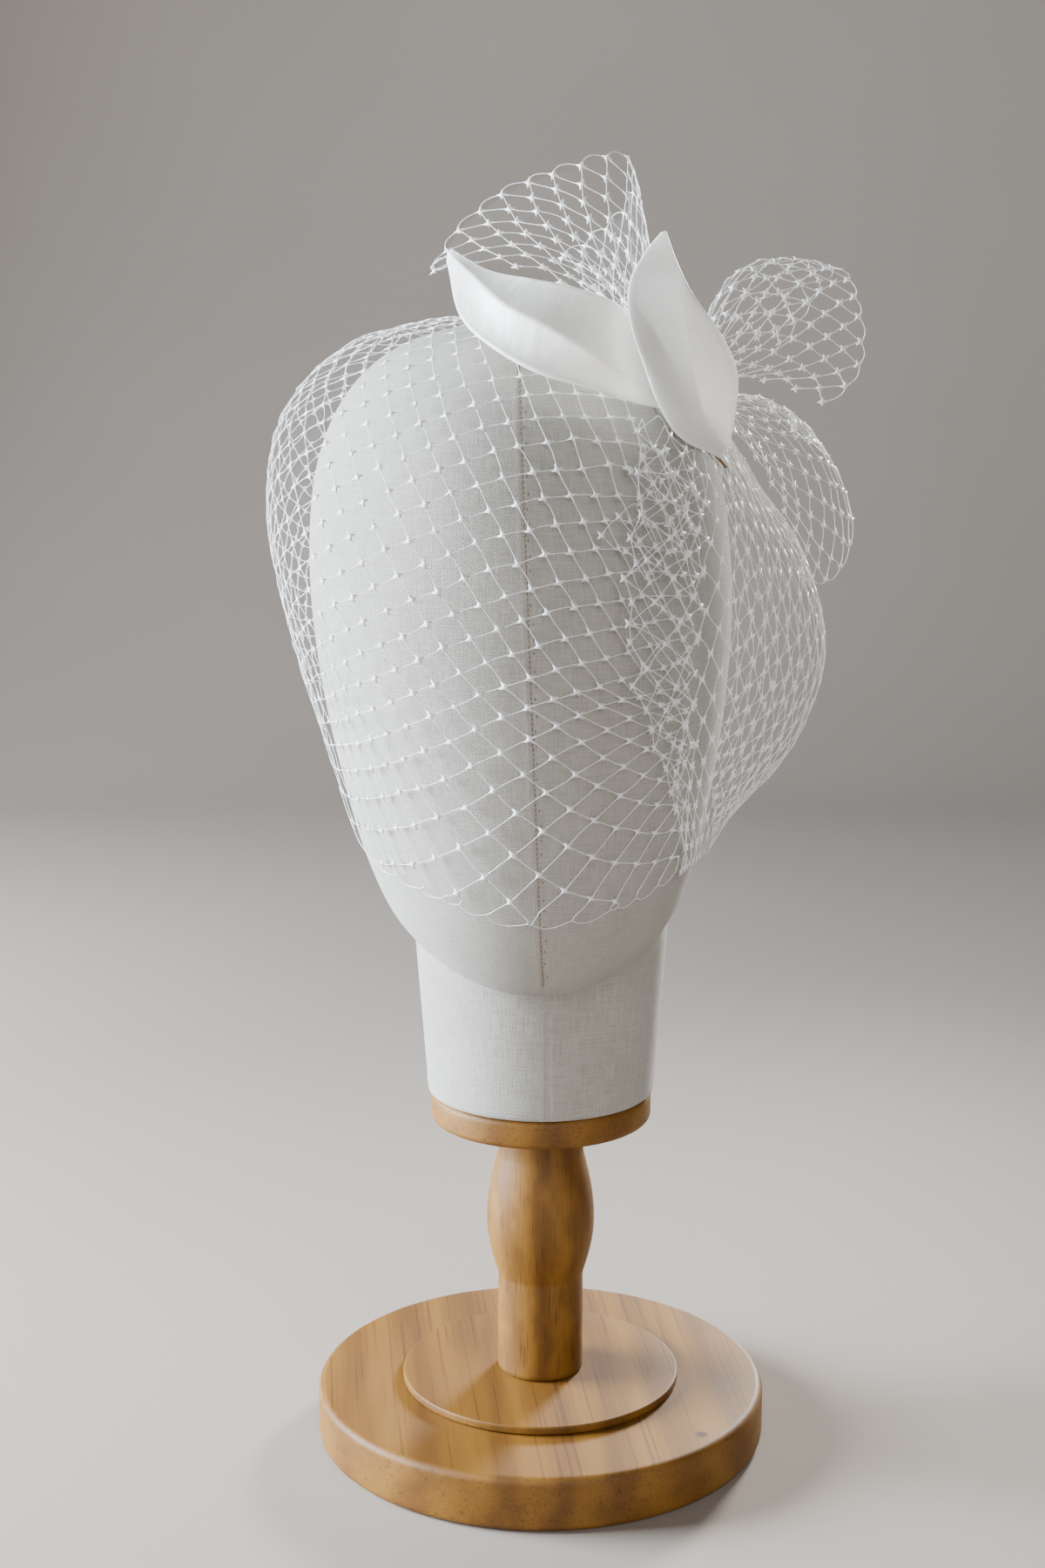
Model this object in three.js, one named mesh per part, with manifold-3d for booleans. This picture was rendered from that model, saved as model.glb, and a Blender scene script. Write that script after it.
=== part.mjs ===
// Birdcage veil of diamond net with two satin leaves, on a linen head and a turned wooden stand.
// Millimetres, +Z up, origin at the centre of the base's underside. The face looks along -Y.
import * as THREE from 'three';
import { mergeVertices } from 'three/addons/utils/BufferGeometryUtils.js';
import Module from 'manifold-3d';

const wasm = await Module();
wasm.setup();

// Gap kept between pieces that touch
const seamGap = 0.3;

// Stand, from the table up
const baseRadius = 86.5;
const baseHeight = 20.5;
const baseEdge = 3;
const riserRadius = 53.5;
const riserHeight = 3.2;
const riserEdge = 0.8;
const postRadius = 16.4;
const bulbRadius = 20.7;
const bulbStart = 63;
const bulbWidest = 85;
const bulbEnd = 112;
const plateRadius = 42;
const plateBottom = 126;
const plateHeight = 11;
const plateEdge = 2.5;

// Neck
const neckBottomRadius = 42.8;
const neckTopRadius = 47.3;
const neckTaperEnd = 196;
const neckTop = 219;

// Veil
const netThickness = 1;
// How far down the fold runs behind the pleat
const foldEnd = 0.74;
// Small gathers at the root: their height, how far down they fade out, where across the net they
// start and are full, and how many each stretch of net has
const gatherHeight = 1.6;
const gatherEnd = 0.45;
const gatherClear = 0.34;
const gatherFull = 0.46;
const faceGathers = 9;
const sideGathers = 5;
const headCentre = new THREE.Vector3(-7, 0, 325);

// Steps along and across each piece
const roundSteps = 44;
const headAround = 40;
const headRings = 22;
const bulbSteps = 8;
const padSteps = 12;
const faceSteps = { alongCount: 18, acrossCount: 36 };
const foldSteps = { alongCount: 13, acrossCount: 4 };
const sideSteps = { alongCount: 17, acrossCount: 20 };
const topPoufSteps = { alongCount: 8, acrossCount: 26 };
const rightPoufSteps = { alongCount: 8, acrossCount: 22 };
const backPoufSteps = { alongCount: 8, acrossCount: 20 };
const leafSteps = { alongCount: 14, acrossCount: 8 };
const wireSteps = { steps: 12, curveSegments: 8 };

// Table with named columns
function table(columns, rows) {
  const names = columns.split(' ');
  return rows.map((row) => Object.fromEntries(names.map((name, index) => [name, row[index]])));
}

// Head sections from under the chin to the crown: the section's reach to the front and back of the
// stand's axis, its half width, and how far its middle leans to one side
const headRows = table('height halfWidth front back centreX', [
  [187, 0.5, 46.5, -45.5, -1.5],
  [189, 17, 58, -25, -1.6],
  [194, 30.5, 67.5, 4, -1.9],
  [202, 42.5, 75.5, 28, -2.3],
  [215, 53, 83, 46.5, -3],
  [236, 61.5, 89.5, 61.5, -3.9],
  [262, 68, 94, 74, -4.9],
  [292, 73.5, 96.5, 85, -6.1],
  [322, 76.5, 96.5, 92.5, -7.2],
  [350, 76, 93.5, 95, -8.3],
  [374, 72, 86.5, 91.5, -9.2],
  [393.5, 63.5, 75, 81.5, -9.9],
  [408, 51, 59.5, 66, -10.4],
  [417, 35.5, 41, 47, -10.8],
  [421.7, 18, 20.5, 25, -11],
  [423, 0.5, 0.5, 1.5, -11.1],
]);

// Each row is one line of net from the gathers, its root, to the free edge, its rim. Directions are
// degrees seen from the head's centre: Turn goes round from the front towards the veil's plain side,
// Rise is above the level. Sway bends the line sideways. The last six columns are its height off the
// head at even steps on the way down.
const veilColumns = 'rimTurn rimRise rootTurn rootRise sway root crown upper middle lower rim';
const faceRows = table(veilColumns, [
  [-42, -48, -52, 32, 8, 3.4, 3, 2.5, 2.5, 2, 2],
  [-30, -48.5, -49, 32.5, 5, 3.4, 2.5, 2, 2, 2, 2],
  [-16, -49, -46, 34, 2, 3.4, 2.5, 2, 2, 2, 2],
  [0, -49.5, -42, 36, 0, 3.4, 2.5, 2, 2, 2, 2],
  [17, -48.5, -38, 39, 0, 3.4, 2.5, 2, 2, 2, 2],
  [34, -49, -36, 43, 0, 3.4, 2.5, 2, 2, 2, 2],
  [50, -50, -37, 46.5, 0, 3.4, 2.2, 2, 2, 2, 2],
  [66, -46, -41, 49, 0, 3.4, 2, 2.5, 6, 3, 2],
  [84, -34, -50, 51, 0, 3.4, 1.8, 4.5, 13, 6.5, 3],
  [104, -20, -64, 53, 0, 3.4, 1.8, 5, 17.5, 12.5, 5],
  [126, -8, -82, 54.5, 0, 3.4, 1.8, 3.5, 15, 15, 7],
  [148, 4, -102, 54, 0, 3.4, 1.8, 2, 9, 11, 6],
]);
const foldRows = table(veilColumns, [
  [-42, -48, -52, 32, 8, 5.2, 5, 4.6, 4.6, 3.8, 3.8],
  [-43.5, -48, -43, 38, 12, 5.8, 5.8, 6, 5, 3.8, 3.6],
  [-45, -48, -28, 41, 17, 5.8, 7.6, 7, 5.4, 3.8, 3.6],
]);
const sideRows = table(veilColumns, [
  [-45, -48, -28, 41, 17, 8.2, 9.4, 8.8, 7.2, 5.2, 3.6],
  [-52, -48.5, -40, 40, 12, 7.4, 10.5, 12, 11, 7, 4],
  [-62, -49, -52, 40.5, 6, 6, 11, 15.5, 16.5, 12.5, 5],
  [-74, -50, -63, 42, 2, 5, 11.5, 20, 23.5, 19, 6],
  [-88, -50, -73, 44, 0, 4, 11.5, 25, 33, 27, 8],
  [-104, -46, -84, 45.5, 0, 3.6, 11.5, 26.5, 35.5, 30.5, 13],
  [-126, -37, -97, 46, 0, 3.4, 9, 20, 27, 26, 18],
  [-150, -28, -110, 46, 0, 3.4, 6, 11.5, 15, 14.5, 10],
]);

// Loops behind the leaves, from the free end of each round to its other end: points of the rim,
// directions and height of the root over the pad, and how far the middle of the line between them
// bows aside
const poufColumns = 'rimX rimY rimZ rootTurn rootRise lift bowX bowY bowZ';
const topPoufRows = table(poufColumns, [
  [-38.5, -2, 441, -62, 62, 5.8, -5, -2, 5],
  [-28.5, 8, 457, -67, 62, 5.8, -4, 0, 5],
  [-10, 7, 470, -72, 62, 5.8, -2, -1, 3],
  [9, 2, 476, -78, 62.5, 5.8, 0, -3, 2],
  [25, 5, 481, -84, 63, 5.8, 1, -3, 1],
  [33, 16, 479, -90, 64, 5.8, 0, 0, 0],
  [32, 29, 466, -95, 65, 5.8, -2, 4, 0],
  [22, 38, 456, -99, 66.5, 5.8, -3, 4, 0],
  [8, 40, 448, -102, 68, 5.8, -4, 3, 0],
]);
const rightPoufRows = table(poufColumns, [
  [87, 14, 416, -82, 49.5, 3, -2, -6, 8],
  [97, 18, 430, -86, 51, 3, -6, -8, 14],
  [105, 26, 441.5, -90.5, 52, 3, -8, -6, 18],
  [112, 37, 444, -95, 52, 3, -6, 0, 16],
  [119, 48, 435, -99.5, 51.5, 3, 0, 4, 10],
  [123, 56, 419, -103.5, 50.5, 3, 3, 5, 4],
  [121, 61, 404, -107, 50, 3, 2, 4, 0],
  [110, 64, 395, -110, 49.5, 3, 0, 2, 1],
]);
const backPoufRows = table(poufColumns, [
  [99, 62, 384, -112, 45.5, 7, 0, 0, 3],
  [112, 70, 376, -109.5, 45, 7, 2, 2, 4],
  [121, 76, 362, -106.5, 44.5, 7, 4, 4, 3],
  [125.5, 79, 347, -103.5, 44.5, 7, 5, 4, 0],
  [122, 77, 332, -100.5, 44.5, 7, 4, 4, -2],
  [112, 69, 324, -97.5, 44.5, 7, 2, 4, -4],
  [102, 58, 330, -94.5, 45, 7, 0, 3, -4],
]);

// Oval pad that the gathers and leaves are sewn to
const padTurn = -77;
const padRise = 48;
const padHalfLength = 42;
const padHalfHeight = 17;
const padThickness = 2;

// Leaves from base to tip: the midrib, then the lower or inner edge, then the upper or outer one
const leafColumns = 'ribX ribY ribZ lowX lowY lowZ highX highY highZ';
const leafLeftRows = table(leafColumns, [
  [38.6, -60, 390.6, 38, -61, 388.6, 39, -59.4, 393.2],
  [30.5, -72.5, 400, 28.2, -73, 393.9, 35.5, -63, 411.6],
  [17.1, -79, 409.4, 13.7, -78, 398.6, 26.3, -64, 425.4],
  [1.9, -78, 418.2, -2.7, -78, 403.2, 11.8, -63, 431.6],
  [-12.8, -69, 426, -17.1, -70, 411.5, -3.5, -58, 435],
  [-24.7, -50, 437.4, -28, -57, 423.3, -18.2, -48, 438.3],
  [-32.3, -37, 445, -32.4, -39, 441.4, -30.8, -37, 446],
]);
const leafRightRows = table(leafColumns, [
  [58.6, -54.1, 375, 57.5, -55.4, 375.6, 59.6, -51.5, 375.8],
  [54.8, -55.5, 382.9, 47.1, -68.6, 380.6, 63.5, -50, 382.2],
  [52.2, -54.5, 395.2, 38.2, -82, 392.2, 65.2, -57, 396.6],
  [49.8, -53, 408.5, 33, -82, 405.1, 63.9, -61, 407],
  [47.7, -49, 421.6, 28.2, -73, 421.1, 58.2, -55, 419.2],
  [45.4, -42, 435, 28.7, -59, 434.4, 50.6, -45, 431.1],
  [42.9, -33, 445.6, 35.3, -38, 445.9, 45.5, -34, 443.2],
  [41.7, -29, 452.8, 40.9, -30, 452.4, 42.6, -29, 452.4],
]);
const leafThickness = 1.2;
const leafCup = 1.6;
const leafLeftClear = 10.2;
const leafRightClear = 12.65;
const leafSoftness = 2;

// Wire pin below the leaves, as directions like those of the net
const pinColumns = 'turn rise lift';
const pinRows = table(pinColumns, [
  [-54.4, 29.1, 11.5],
  [-50.6, 31.2, 11.5],
  [-47.9, 34.3, 11.3],
  [-45.8, 38.6, 11],
]);
const wireRadius = 0.6;

// Point between two values on a curve that leaves and arrives with the given slopes
function hermite(start, end, startSlope, endSlope, x) {
  const x2 = x * x;
  const x3 = x2 * x;
  return (2 * x3 - 3 * x2 + 1) * start + (x3 - 2 * x2 + x) * startSlope
    + (3 * x2 - 2 * x3) * end + (x3 - x2) * endSlope;
}

// Smooth curve through evenly spaced values, t from 0 at the first to 1 at the last
function curveThrough(values, t) {
  const last = values.length - 1;
  const place = THREE.MathUtils.clamp(t, 0, 1) * last;
  const index = Math.min(Math.floor(place), last - 1);
  const start = values[index];
  const end = values[index + 1];
  const startSlope = index === 0 ? end - start : (end - values[index - 1]) / 2;
  const endSlope = index + 1 === last ? end - start : (values[index + 2] - start) / 2;
  return hermite(start, end, startSlope, endSlope, place - index);
}

// Every column of a table at t, 0 on its first row and 1 on its last
function readTable(rows, t) {
  const row = {};
  for (const column of Object.keys(rows[0])) {
    row[column] = curveThrough(rows.map((entry) => entry[column]), t);
  }
  return row;
}

// Rows of points, along by across
function grid(alongCount, acrossCount, pointAt) {
  return Array.from({ length: alongCount + 1 }, (_, along) => (
    Array.from({ length: acrossCount + 1 }, (__, across) => (
      pointAt(along / alongCount, across / acrossCount)
    ))
  ));
}

// Geometry from points and four-cornered faces, turned so that its faces point out
function solidFromQuads(points, quads) {
  const triangles = quads.flatMap(([a, b, c, d]) => [
    [a, b, c],
    [a, c, d],
  ]);
  let volume = 0;
  for (const [a, b, c] of triangles) {
    volume += points[a].dot(new THREE.Vector3().crossVectors(points[b], points[c]));
  }
  const facing = volume < 0 ? triangles.map(([a, b, c]) => [a, c, b]) : triangles;
  const positions = points.flatMap((point) => point.toArray());
  const geometry = new THREE.BufferGeometry();
  geometry.setAttribute('position', new THREE.Float32BufferAttribute(positions, 3));
  geometry.setIndex(facing.flat());
  geometry.computeVertexNormals();
  return geometry;
}

// Closed wall between two grids of points of the same size
function wallBetween(outer, inner) {
  const lastRow = outer.length - 1;
  const lastColumn = outer[0].length - 1;
  const points = [...outer.flat(), ...inner.flat()];
  const innerStart = points.length / 2;
  const out = (row, column) => row * (lastColumn + 1) + column;
  const back = (row, column) => innerStart + out(row, column);
  const quads = [];
  for (let row = 0; row < lastRow; row += 1) {
    for (let column = 0; column < lastColumn; column += 1) {
      const corners = [[row, column], [row, column + 1], [row + 1, column + 1], [row + 1, column]];
      quads.push(corners.map((corner) => out(...corner)));
      quads.push(corners.reverse().map((corner) => back(...corner)));
    }
  }
  const edge = [];
  for (let column = 0; column < lastColumn; column += 1) edge.push([0, column]);
  for (let row = 0; row < lastRow; row += 1) edge.push([row, lastColumn]);
  for (let column = lastColumn; column > 0; column -= 1) edge.push([lastRow, column]);
  for (let row = lastRow; row > 0; row -= 1) edge.push([row, 0]);
  edge.forEach((corner, index) => {
    const next = edge[(index + 1) % edge.length];
    quads.push([out(...next), out(...corner), back(...corner), back(...next)]);
  });
  return solidFromQuads(points, quads);
}

// Grid moved along its own surface normals by a distance
function offsetGrid(points, distance) {
  const rows = points.length;
  const columns = points[0].length;
  return points.map((line, row) => line.map((point, column) => {
    const along = points[Math.min(row + 1, rows - 1)][column].clone()
      .sub(points[Math.max(row - 1, 0)][column]);
    const across = line[Math.min(column + 1, columns - 1)].clone().sub(line[Math.max(column - 1, 0)]);
    const normal = new THREE.Vector3().crossVectors(across, along).normalize();
    return point.clone().addScaledVector(normal, distance);
  }));
}

// Solid through closed rings, with a flat cap at each end
function solidFromRings(rings) {
  const count = rings[0].length;
  const points = rings.flat();
  const quads = [];
  for (let ring = 0; ring < rings.length - 1; ring += 1) {
    for (let step = 0; step < count; step += 1) {
      const next = (step + 1) % count;
      const lower = ring * count;
      const upper = lower + count;
      quads.push([lower + step, lower + next, upper + next, upper + step]);
    }
  }
  const lastRing = (rings.length - 1) * count;
  for (let step = 1; step < count - 2; step += 2) {
    quads.push([0, step + 2, step + 1, step]);
    quads.push([lastRing, lastRing + step, lastRing + step + 1, lastRing + step + 2]);
  }
  return solidFromQuads(points, quads);
}

// Ellipse of the head at a turn of the table, 0 under the chin and 1 at the crown
function headEllipse(t) {
  const row = readTable(headRows, t);
  return {
    height: row.height,
    halfWidth: row.halfWidth,
    halfDepth: (row.front + row.back) / 2,
    centreX: row.centreX,
    centreY: (row.back - row.front) / 2,
  };
}

// The head's ellipses, close enough together to read between them by height
const headSteps = 600;
const headEllipses = Array.from({ length: headSteps + 1 }, (_, step) => headEllipse(step / headSteps));

// Shortest and longest reach the head can have from its centre, and how closely it is found
const leastReach = 20;
const mostReach = 190;
const reachTolerance = 0.0005;

function isOutsideHead(point) {
  if (point.z <= headEllipses[0].height || point.z >= headEllipses[headSteps].height) {
    return true;
  }
  let low = 0;
  let high = headSteps;
  while (high - low > 1) {
    const middle = Math.floor((low + high) / 2);
    if (headEllipses[middle].height > point.z) {
      high = middle;
    } else {
      low = middle;
    }
  }
  const below = headEllipses[low];
  const above = headEllipses[high];
  const share = (point.z - below.height) / (above.height - below.height);
  const blend = (name) => THREE.MathUtils.lerp(below[name], above[name], share);
  const x = (point.x - blend('centreX')) / blend('halfWidth');
  const y = (point.y - blend('centreY')) / blend('halfDepth');
  return x * x + y * y > 1;
}

// Distance from the head's centre to its surface, halved down to it
function headRadius(direction) {
  let low = leastReach;
  let high = mostReach;
  while (high - low > reachTolerance) {
    const middle = (low + high) / 2;
    if (isOutsideHead(headCentre.clone().addScaledVector(direction, middle))) {
      high = middle;
    } else {
      low = middle;
    }
  }
  return low;
}

function headPoint(direction, lift) {
  return headCentre.clone().addScaledVector(direction, headRadius(direction) + lift);
}

function directionOf(turn, rise) {
  const turnAngle = THREE.MathUtils.degToRad(turn);
  const riseAngle = THREE.MathUtils.degToRad(rise);
  return new THREE.Vector3(
    -Math.cos(riseAngle) * Math.sin(turnAngle),
    -Math.cos(riseAngle) * Math.cos(turnAngle),
    Math.sin(riseAngle),
  );
}

function betweenDirections(start, end, share) {
  const angle = start.angleTo(end);
  return start.clone().multiplyScalar(Math.sin((1 - share) * angle) / Math.sin(angle))
    .addScaledVector(end, Math.sin(share * angle) / Math.sin(angle));
}

// Height of the small gathers that run down from the pad and fade out
function gathers(count, down, across) {
  const fadeDown = Math.max(0, 1 - down / gatherEnd) ** 2;
  const fadeAcross = THREE.MathUtils.smoothstep(across, gatherClear, gatherFull);
  const wave = (1 - Math.cos(Math.PI * 2 * count * across)) / 2;
  return gatherHeight * fadeDown * fadeAcross * wave;
}

// Point of the net at a share of the way down from the gathers and across the table's rows
function veilPoint(rows, down, across, lift) {
  const row = readTable(rows, across);
  const root = directionOf(row.rootTurn, row.rootRise);
  const rim = directionOf(row.rimTurn, row.rimRise);
  const direction = betweenDirections(root, rim, down);
  const sway = THREE.MathUtils.degToRad(row.sway * Math.sin(Math.PI * down));
  direction.applyAxisAngle(new THREE.Vector3(0, 0, 1), -sway);
  const heights = [row.root, row.crown, row.upper, row.middle, row.lower, row.rim];
  return headPoint(direction, curveThrough(heights, down) + lift);
}

function veilWall(rows, end, gatherCount, { alongCount, acrossCount }) {
  const layer = (lift) => grid(alongCount, acrossCount, (along, across) => {
    const down = along * end;
    return veilPoint(rows, down, across, lift + gathers(gatherCount, down, across));
  });
  return wallBetween(layer(netThickness), layer(0));
}

function heightOffHead(point) {
  const reach = point.clone().sub(headCentre);
  return reach.length() - headRadius(reach.clone().normalize());
}

// Point moved out, if need be, until it is clear of the net on the head
function keptClear(point, clear) {
  const height = heightOffHead(point);
  const over = height - clear;
  const keptHeight = (height + clear + Math.sqrt(over * over + leafSoftness * leafSoftness)) / 2;
  return headPoint(point.clone().sub(headCentre).normalize(), keptHeight);
}

// Standing loop of net: lines from root to rim, each bowed aside in the middle
function poufWall(rows, { alongCount, acrossCount }) {
  const middle = grid(alongCount, acrossCount, (along, across) => {
    const row = readTable(rows, across);
    const rim = new THREE.Vector3(row.rimX, row.rimY, row.rimZ);
    const rimDirection = rim.clone().sub(headCentre).normalize();
    const rootDirection = directionOf(row.rootTurn, row.rootRise);
    const direction = betweenDirections(rootDirection, rimDirection, along);
    const lift = THREE.MathUtils.lerp(row.lift, heightOffHead(rim), along);
    const bow = new THREE.Vector3(row.bowX, row.bowY, row.bowZ);
    return headPoint(direction, lift).addScaledVector(bow, Math.sin(Math.PI * along));
  });
  return wallBetween(offsetGrid(middle, netThickness / 2), offsetGrid(middle, -netThickness / 2));
}

// Leaf with a pressed midrib: each half bows back a little between the rib and its edge
function leafWall(rows, clear) {
  const middle = grid(leafSteps.alongCount, leafSteps.acrossCount, (along, across) => {
    const row = readTable(rows, along);
    const side = across * 2 - 1;
    const reach = Math.abs(side);
    const rib = new THREE.Vector3(row.ribX, row.ribY, row.ribZ);
    const edge = side < 0
      ? new THREE.Vector3(row.lowX, row.lowY, row.lowZ)
      : new THREE.Vector3(row.highX, row.highY, row.highZ);
    const cup = leafCup * Math.sin(Math.PI * reach) * Math.sin(Math.PI * along);
    const point = rib.lerp(edge, reach);
    point.y += cup;
    return keptClear(point, clear);
  });
  return wallBetween(offsetGrid(middle, leafThickness / 2), offsetGrid(middle, -leafThickness / 2));
}

// Oval pad curved to the head: a square grid drawn in to an oval
function padSolid() {
  const centre = directionOf(padTurn, padRise);
  const sideways = new THREE.Vector3(0, 0, 1).cross(centre).normalize();
  const upward = new THREE.Vector3().crossVectors(centre, sideways);
  const radius = headRadius(centre);
  const layer = (lift) => grid(padSteps, padSteps, (along, across) => {
    const x = across * 2 - 1;
    const y = along * 2 - 1;
    const direction = centre.clone()
      .addScaledVector(sideways, x * Math.sqrt(1 - y * y / 2) * padHalfLength / radius)
      .addScaledVector(upward, y * Math.sqrt(1 - x * x / 2) * padHalfHeight / radius)
      .normalize();
    return headPoint(direction, lift);
  });
  return wallBetween(layer(seamGap + padThickness), layer(seamGap));
}

// Head through its ellipses, grown all round where room for a gap is wanted
function headSolid(grow) {
  const rings = Array.from({ length: headRings + 1 }, (_, ring) => {
    const ellipse = headEllipse(ring / headRings);
    const rise = grow * (2 * ring / headRings - 1);
    return Array.from({ length: headAround }, (__, step) => {
      const angle = (step / headAround) * Math.PI * 2;
      return new THREE.Vector3(
        ellipse.centreX + (ellipse.halfWidth + grow) * Math.cos(angle),
        ellipse.centreY + (ellipse.halfDepth + grow) * Math.sin(angle),
        ellipse.height + rise,
      );
    });
  });
  return solidFromRings(rings);
}

// Geometry to and from the boolean library
function toManifold(geometry) {
  return new wasm.Manifold(new wasm.Mesh({
    numProp: 3,
    vertProperties: Float32Array.from(geometry.getAttribute('position').array),
    triVerts: Uint32Array.from(geometry.getIndex().array),
  }));
}

function fromManifold(solid) {
  const mesh = solid.getMesh();
  const geometry = new THREE.BufferGeometry();
  geometry.setAttribute('position', new THREE.Float32BufferAttribute(mesh.vertProperties, 3));
  geometry.setIndex(Array.from(mesh.triVerts));
  geometry.computeVertexNormals();
  return geometry;
}

// Profile of radius and height turned about the stand's axis
function turned(profile) {
  const points = profile.map(([radius, height]) => new THREE.Vector2(radius, height));
  const geometry = new THREE.LatheGeometry(points, roundSteps);
  geometry.deleteAttribute('normal');
  geometry.deleteAttribute('uv');
  geometry.rotateX(Math.PI / 2);
  return fromManifold(toManifold(mergeVertices(geometry)));
}

// Disc with rounded edges
function roundedDisc(radius, bottom, top, edge) {
  const corner = edge * (1 - Math.SQRT1_2);
  return turned([
    [0, bottom],
    [radius - edge, bottom],
    [radius - corner, bottom + corner],
    [radius, bottom + edge],
    [radius, top - edge],
    [radius - corner, top - corner],
    [radius - edge, top],
    [0, top],
  ]);
}

function postSolid(bottom, top) {
  const bulb = Array.from({ length: bulbSteps + 1 }, (_, step) => {
    const height = THREE.MathUtils.lerp(bulbStart, bulbEnd, step / bulbSteps);
    const span = height < bulbWidest ? bulbWidest - bulbStart : bulbEnd - bulbWidest;
    const swell = Math.cos((height - bulbWidest) / span * Math.PI / 2);
    return [postRadius + (bulbRadius - postRadius) * swell, height];
  });
  return turned([[0, bottom], [postRadius, bottom], ...bulb, [postRadius, top], [0, top]]);
}

// Neck cut to the underside of the head
function neckSolid(bottom) {
  const taper = (neckTopRadius - neckBottomRadius) / (neckTaperEnd - bottom);
  const neck = toManifold(turned([
    [0, bottom],
    [neckBottomRadius, bottom],
    [neckTopRadius, neckTaperEnd],
    [neckTopRadius + taper * (neckTop - neckTaperEnd), neckTop],
    [0, neckTop],
  ]));
  return fromManifold(neck.subtract(toManifold(headSolid(seamGap))));
}

function pinSolid() {
  const section = new THREE.Shape().absarc(0, 0, wireRadius, 0, Math.PI * 2, false);
  const path = new THREE.CatmullRomCurve3(pinRows.map((row) => (
    headPoint(directionOf(row.turn, row.rise), row.lift)
  )));
  const geometry = new THREE.ExtrudeGeometry(section, {
    ...wireSteps, bevelEnabled: false, extrudePath: path,
  });
  geometry.deleteAttribute('normal');
  geometry.deleteAttribute('uv');
  return fromManifold(toManifold(mergeVertices(geometry)));
}

function material(color, roughness) {
  return new THREE.MeshStandardMaterial({ color, roughness, metalness: 0 });
}

const wood = () => material('#b98a55', 0.5);
const linen = () => material('#cfccc4', 0.9);
const net = () => material('#f2f2f0', 0.6);
const satin = () => material('#f4f1e8', 0.35);
const wire = () => material('#4a3a2c', 0.5);

const veil = new THREE.Group();
function addPiece(name, geometry, pieceMaterial) {
  const mesh = new THREE.Mesh(geometry, pieceMaterial);
  mesh.name = name;
  veil.add(mesh);
}

const riserBottom = baseHeight + seamGap;
const riserTop = riserBottom + riserHeight;
const plateTop = plateBottom + plateHeight;
addPiece('stand_base', roundedDisc(baseRadius, 0, baseHeight, baseEdge), wood());
addPiece('stand_riser', roundedDisc(riserRadius, riserBottom, riserTop, riserEdge), wood());
addPiece('stand_post', postSolid(riserTop + seamGap, plateBottom - seamGap), wood());
addPiece('neck_plate', roundedDisc(plateRadius, plateBottom, plateTop, plateEdge), wood());
addPiece('head_neck', neckSolid(plateTop + seamGap), linen());
addPiece('head_form', headSolid(0), linen());
addPiece('gather_base', padSolid(), linen());
addPiece('veil_face', veilWall(faceRows, 1, faceGathers, faceSteps), net());
addPiece('veil_fold', veilWall(foldRows, foldEnd, 0, foldSteps), net());
addPiece('veil_side', veilWall(sideRows, 1, sideGathers, sideSteps), net());
addPiece('veil_pouf_top', poufWall(topPoufRows, topPoufSteps), net());
addPiece('veil_pouf_right', poufWall(rightPoufRows, rightPoufSteps), net());
addPiece('veil_pouf_back', poufWall(backPoufRows, backPoufSteps), net());
addPiece('leaf_left', leafWall(leafLeftRows, leafLeftClear), satin());
addPiece('leaf_right', leafWall(leafRightRows, leafRightClear), satin());
addPiece('hair_pin', pinSolid(), wire());

export default veil;
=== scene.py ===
import math
from functools import partial

import bpy
import numpy as np
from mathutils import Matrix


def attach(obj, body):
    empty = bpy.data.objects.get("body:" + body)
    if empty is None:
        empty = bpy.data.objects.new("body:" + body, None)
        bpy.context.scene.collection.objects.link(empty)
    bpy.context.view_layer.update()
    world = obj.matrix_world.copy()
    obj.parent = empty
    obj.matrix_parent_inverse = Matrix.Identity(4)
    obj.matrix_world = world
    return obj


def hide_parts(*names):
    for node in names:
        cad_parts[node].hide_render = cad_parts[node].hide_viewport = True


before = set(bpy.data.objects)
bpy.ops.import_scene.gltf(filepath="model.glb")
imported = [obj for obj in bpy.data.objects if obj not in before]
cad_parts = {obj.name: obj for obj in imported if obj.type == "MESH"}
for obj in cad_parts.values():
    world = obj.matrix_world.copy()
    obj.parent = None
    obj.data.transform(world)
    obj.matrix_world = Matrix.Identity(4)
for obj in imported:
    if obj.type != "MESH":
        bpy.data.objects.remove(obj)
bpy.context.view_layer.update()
millimetre = 0.001


# Small helpers

def table(columns, rows):
    # Named columns of a table, each as one array over its rows
    return dict(zip(columns.split(), np.array(rows, float).T))


def curveThrough(values, place):
    # Cubic between evenly spaced values, its slope at each the mean of the steps on both sides
    values, place = np.asarray(values, float), np.asarray(place, float)
    last = len(values) - 1
    spot = np.clip(place, 0, 1) * last
    index = np.minimum(spot.astype(int), last - 1)
    x = spot - index

    def take(at):
        at = np.clip(at, 0, last)
        return values[at] if values.ndim == 1 else np.take_along_axis(values, at[None], 0)[0]

    start, end = take(index), take(index + 1)
    startSlope = np.where(index == 0, end - start, (end - take(index - 1)) / 2)
    endSlope = np.where(index + 1 == last, end - start, (take(index + 2) - start) / 2)
    return ((2 * x**3 - 3 * x**2 + 1) * start + (x**3 - 2 * x**2 + x) * startSlope
            + (3 * x**2 - 2 * x**3) * end + (x**3 - x**2) * endSlope)


def readTable(rows, place):
    # Every column at a place between the first row, 0, and the last, 1
    return {name: curveThrough(values, place) for name, values in rows.items()}


def vectors(*parts):
    return np.stack(np.broadcast_arrays(*parts), -1)


def pointOf(row, stem):
    # The point in three columns, such as ribX, ribY and ribZ
    return vectors(*(row[stem + axis] for axis in "XYZ"))


def lengthOf(v):
    return np.linalg.norm(v, axis=-1)


def unit(v):
    return v / np.maximum(np.linalg.norm(v, axis=-1, keepdims=True), 1e-9)


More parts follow.
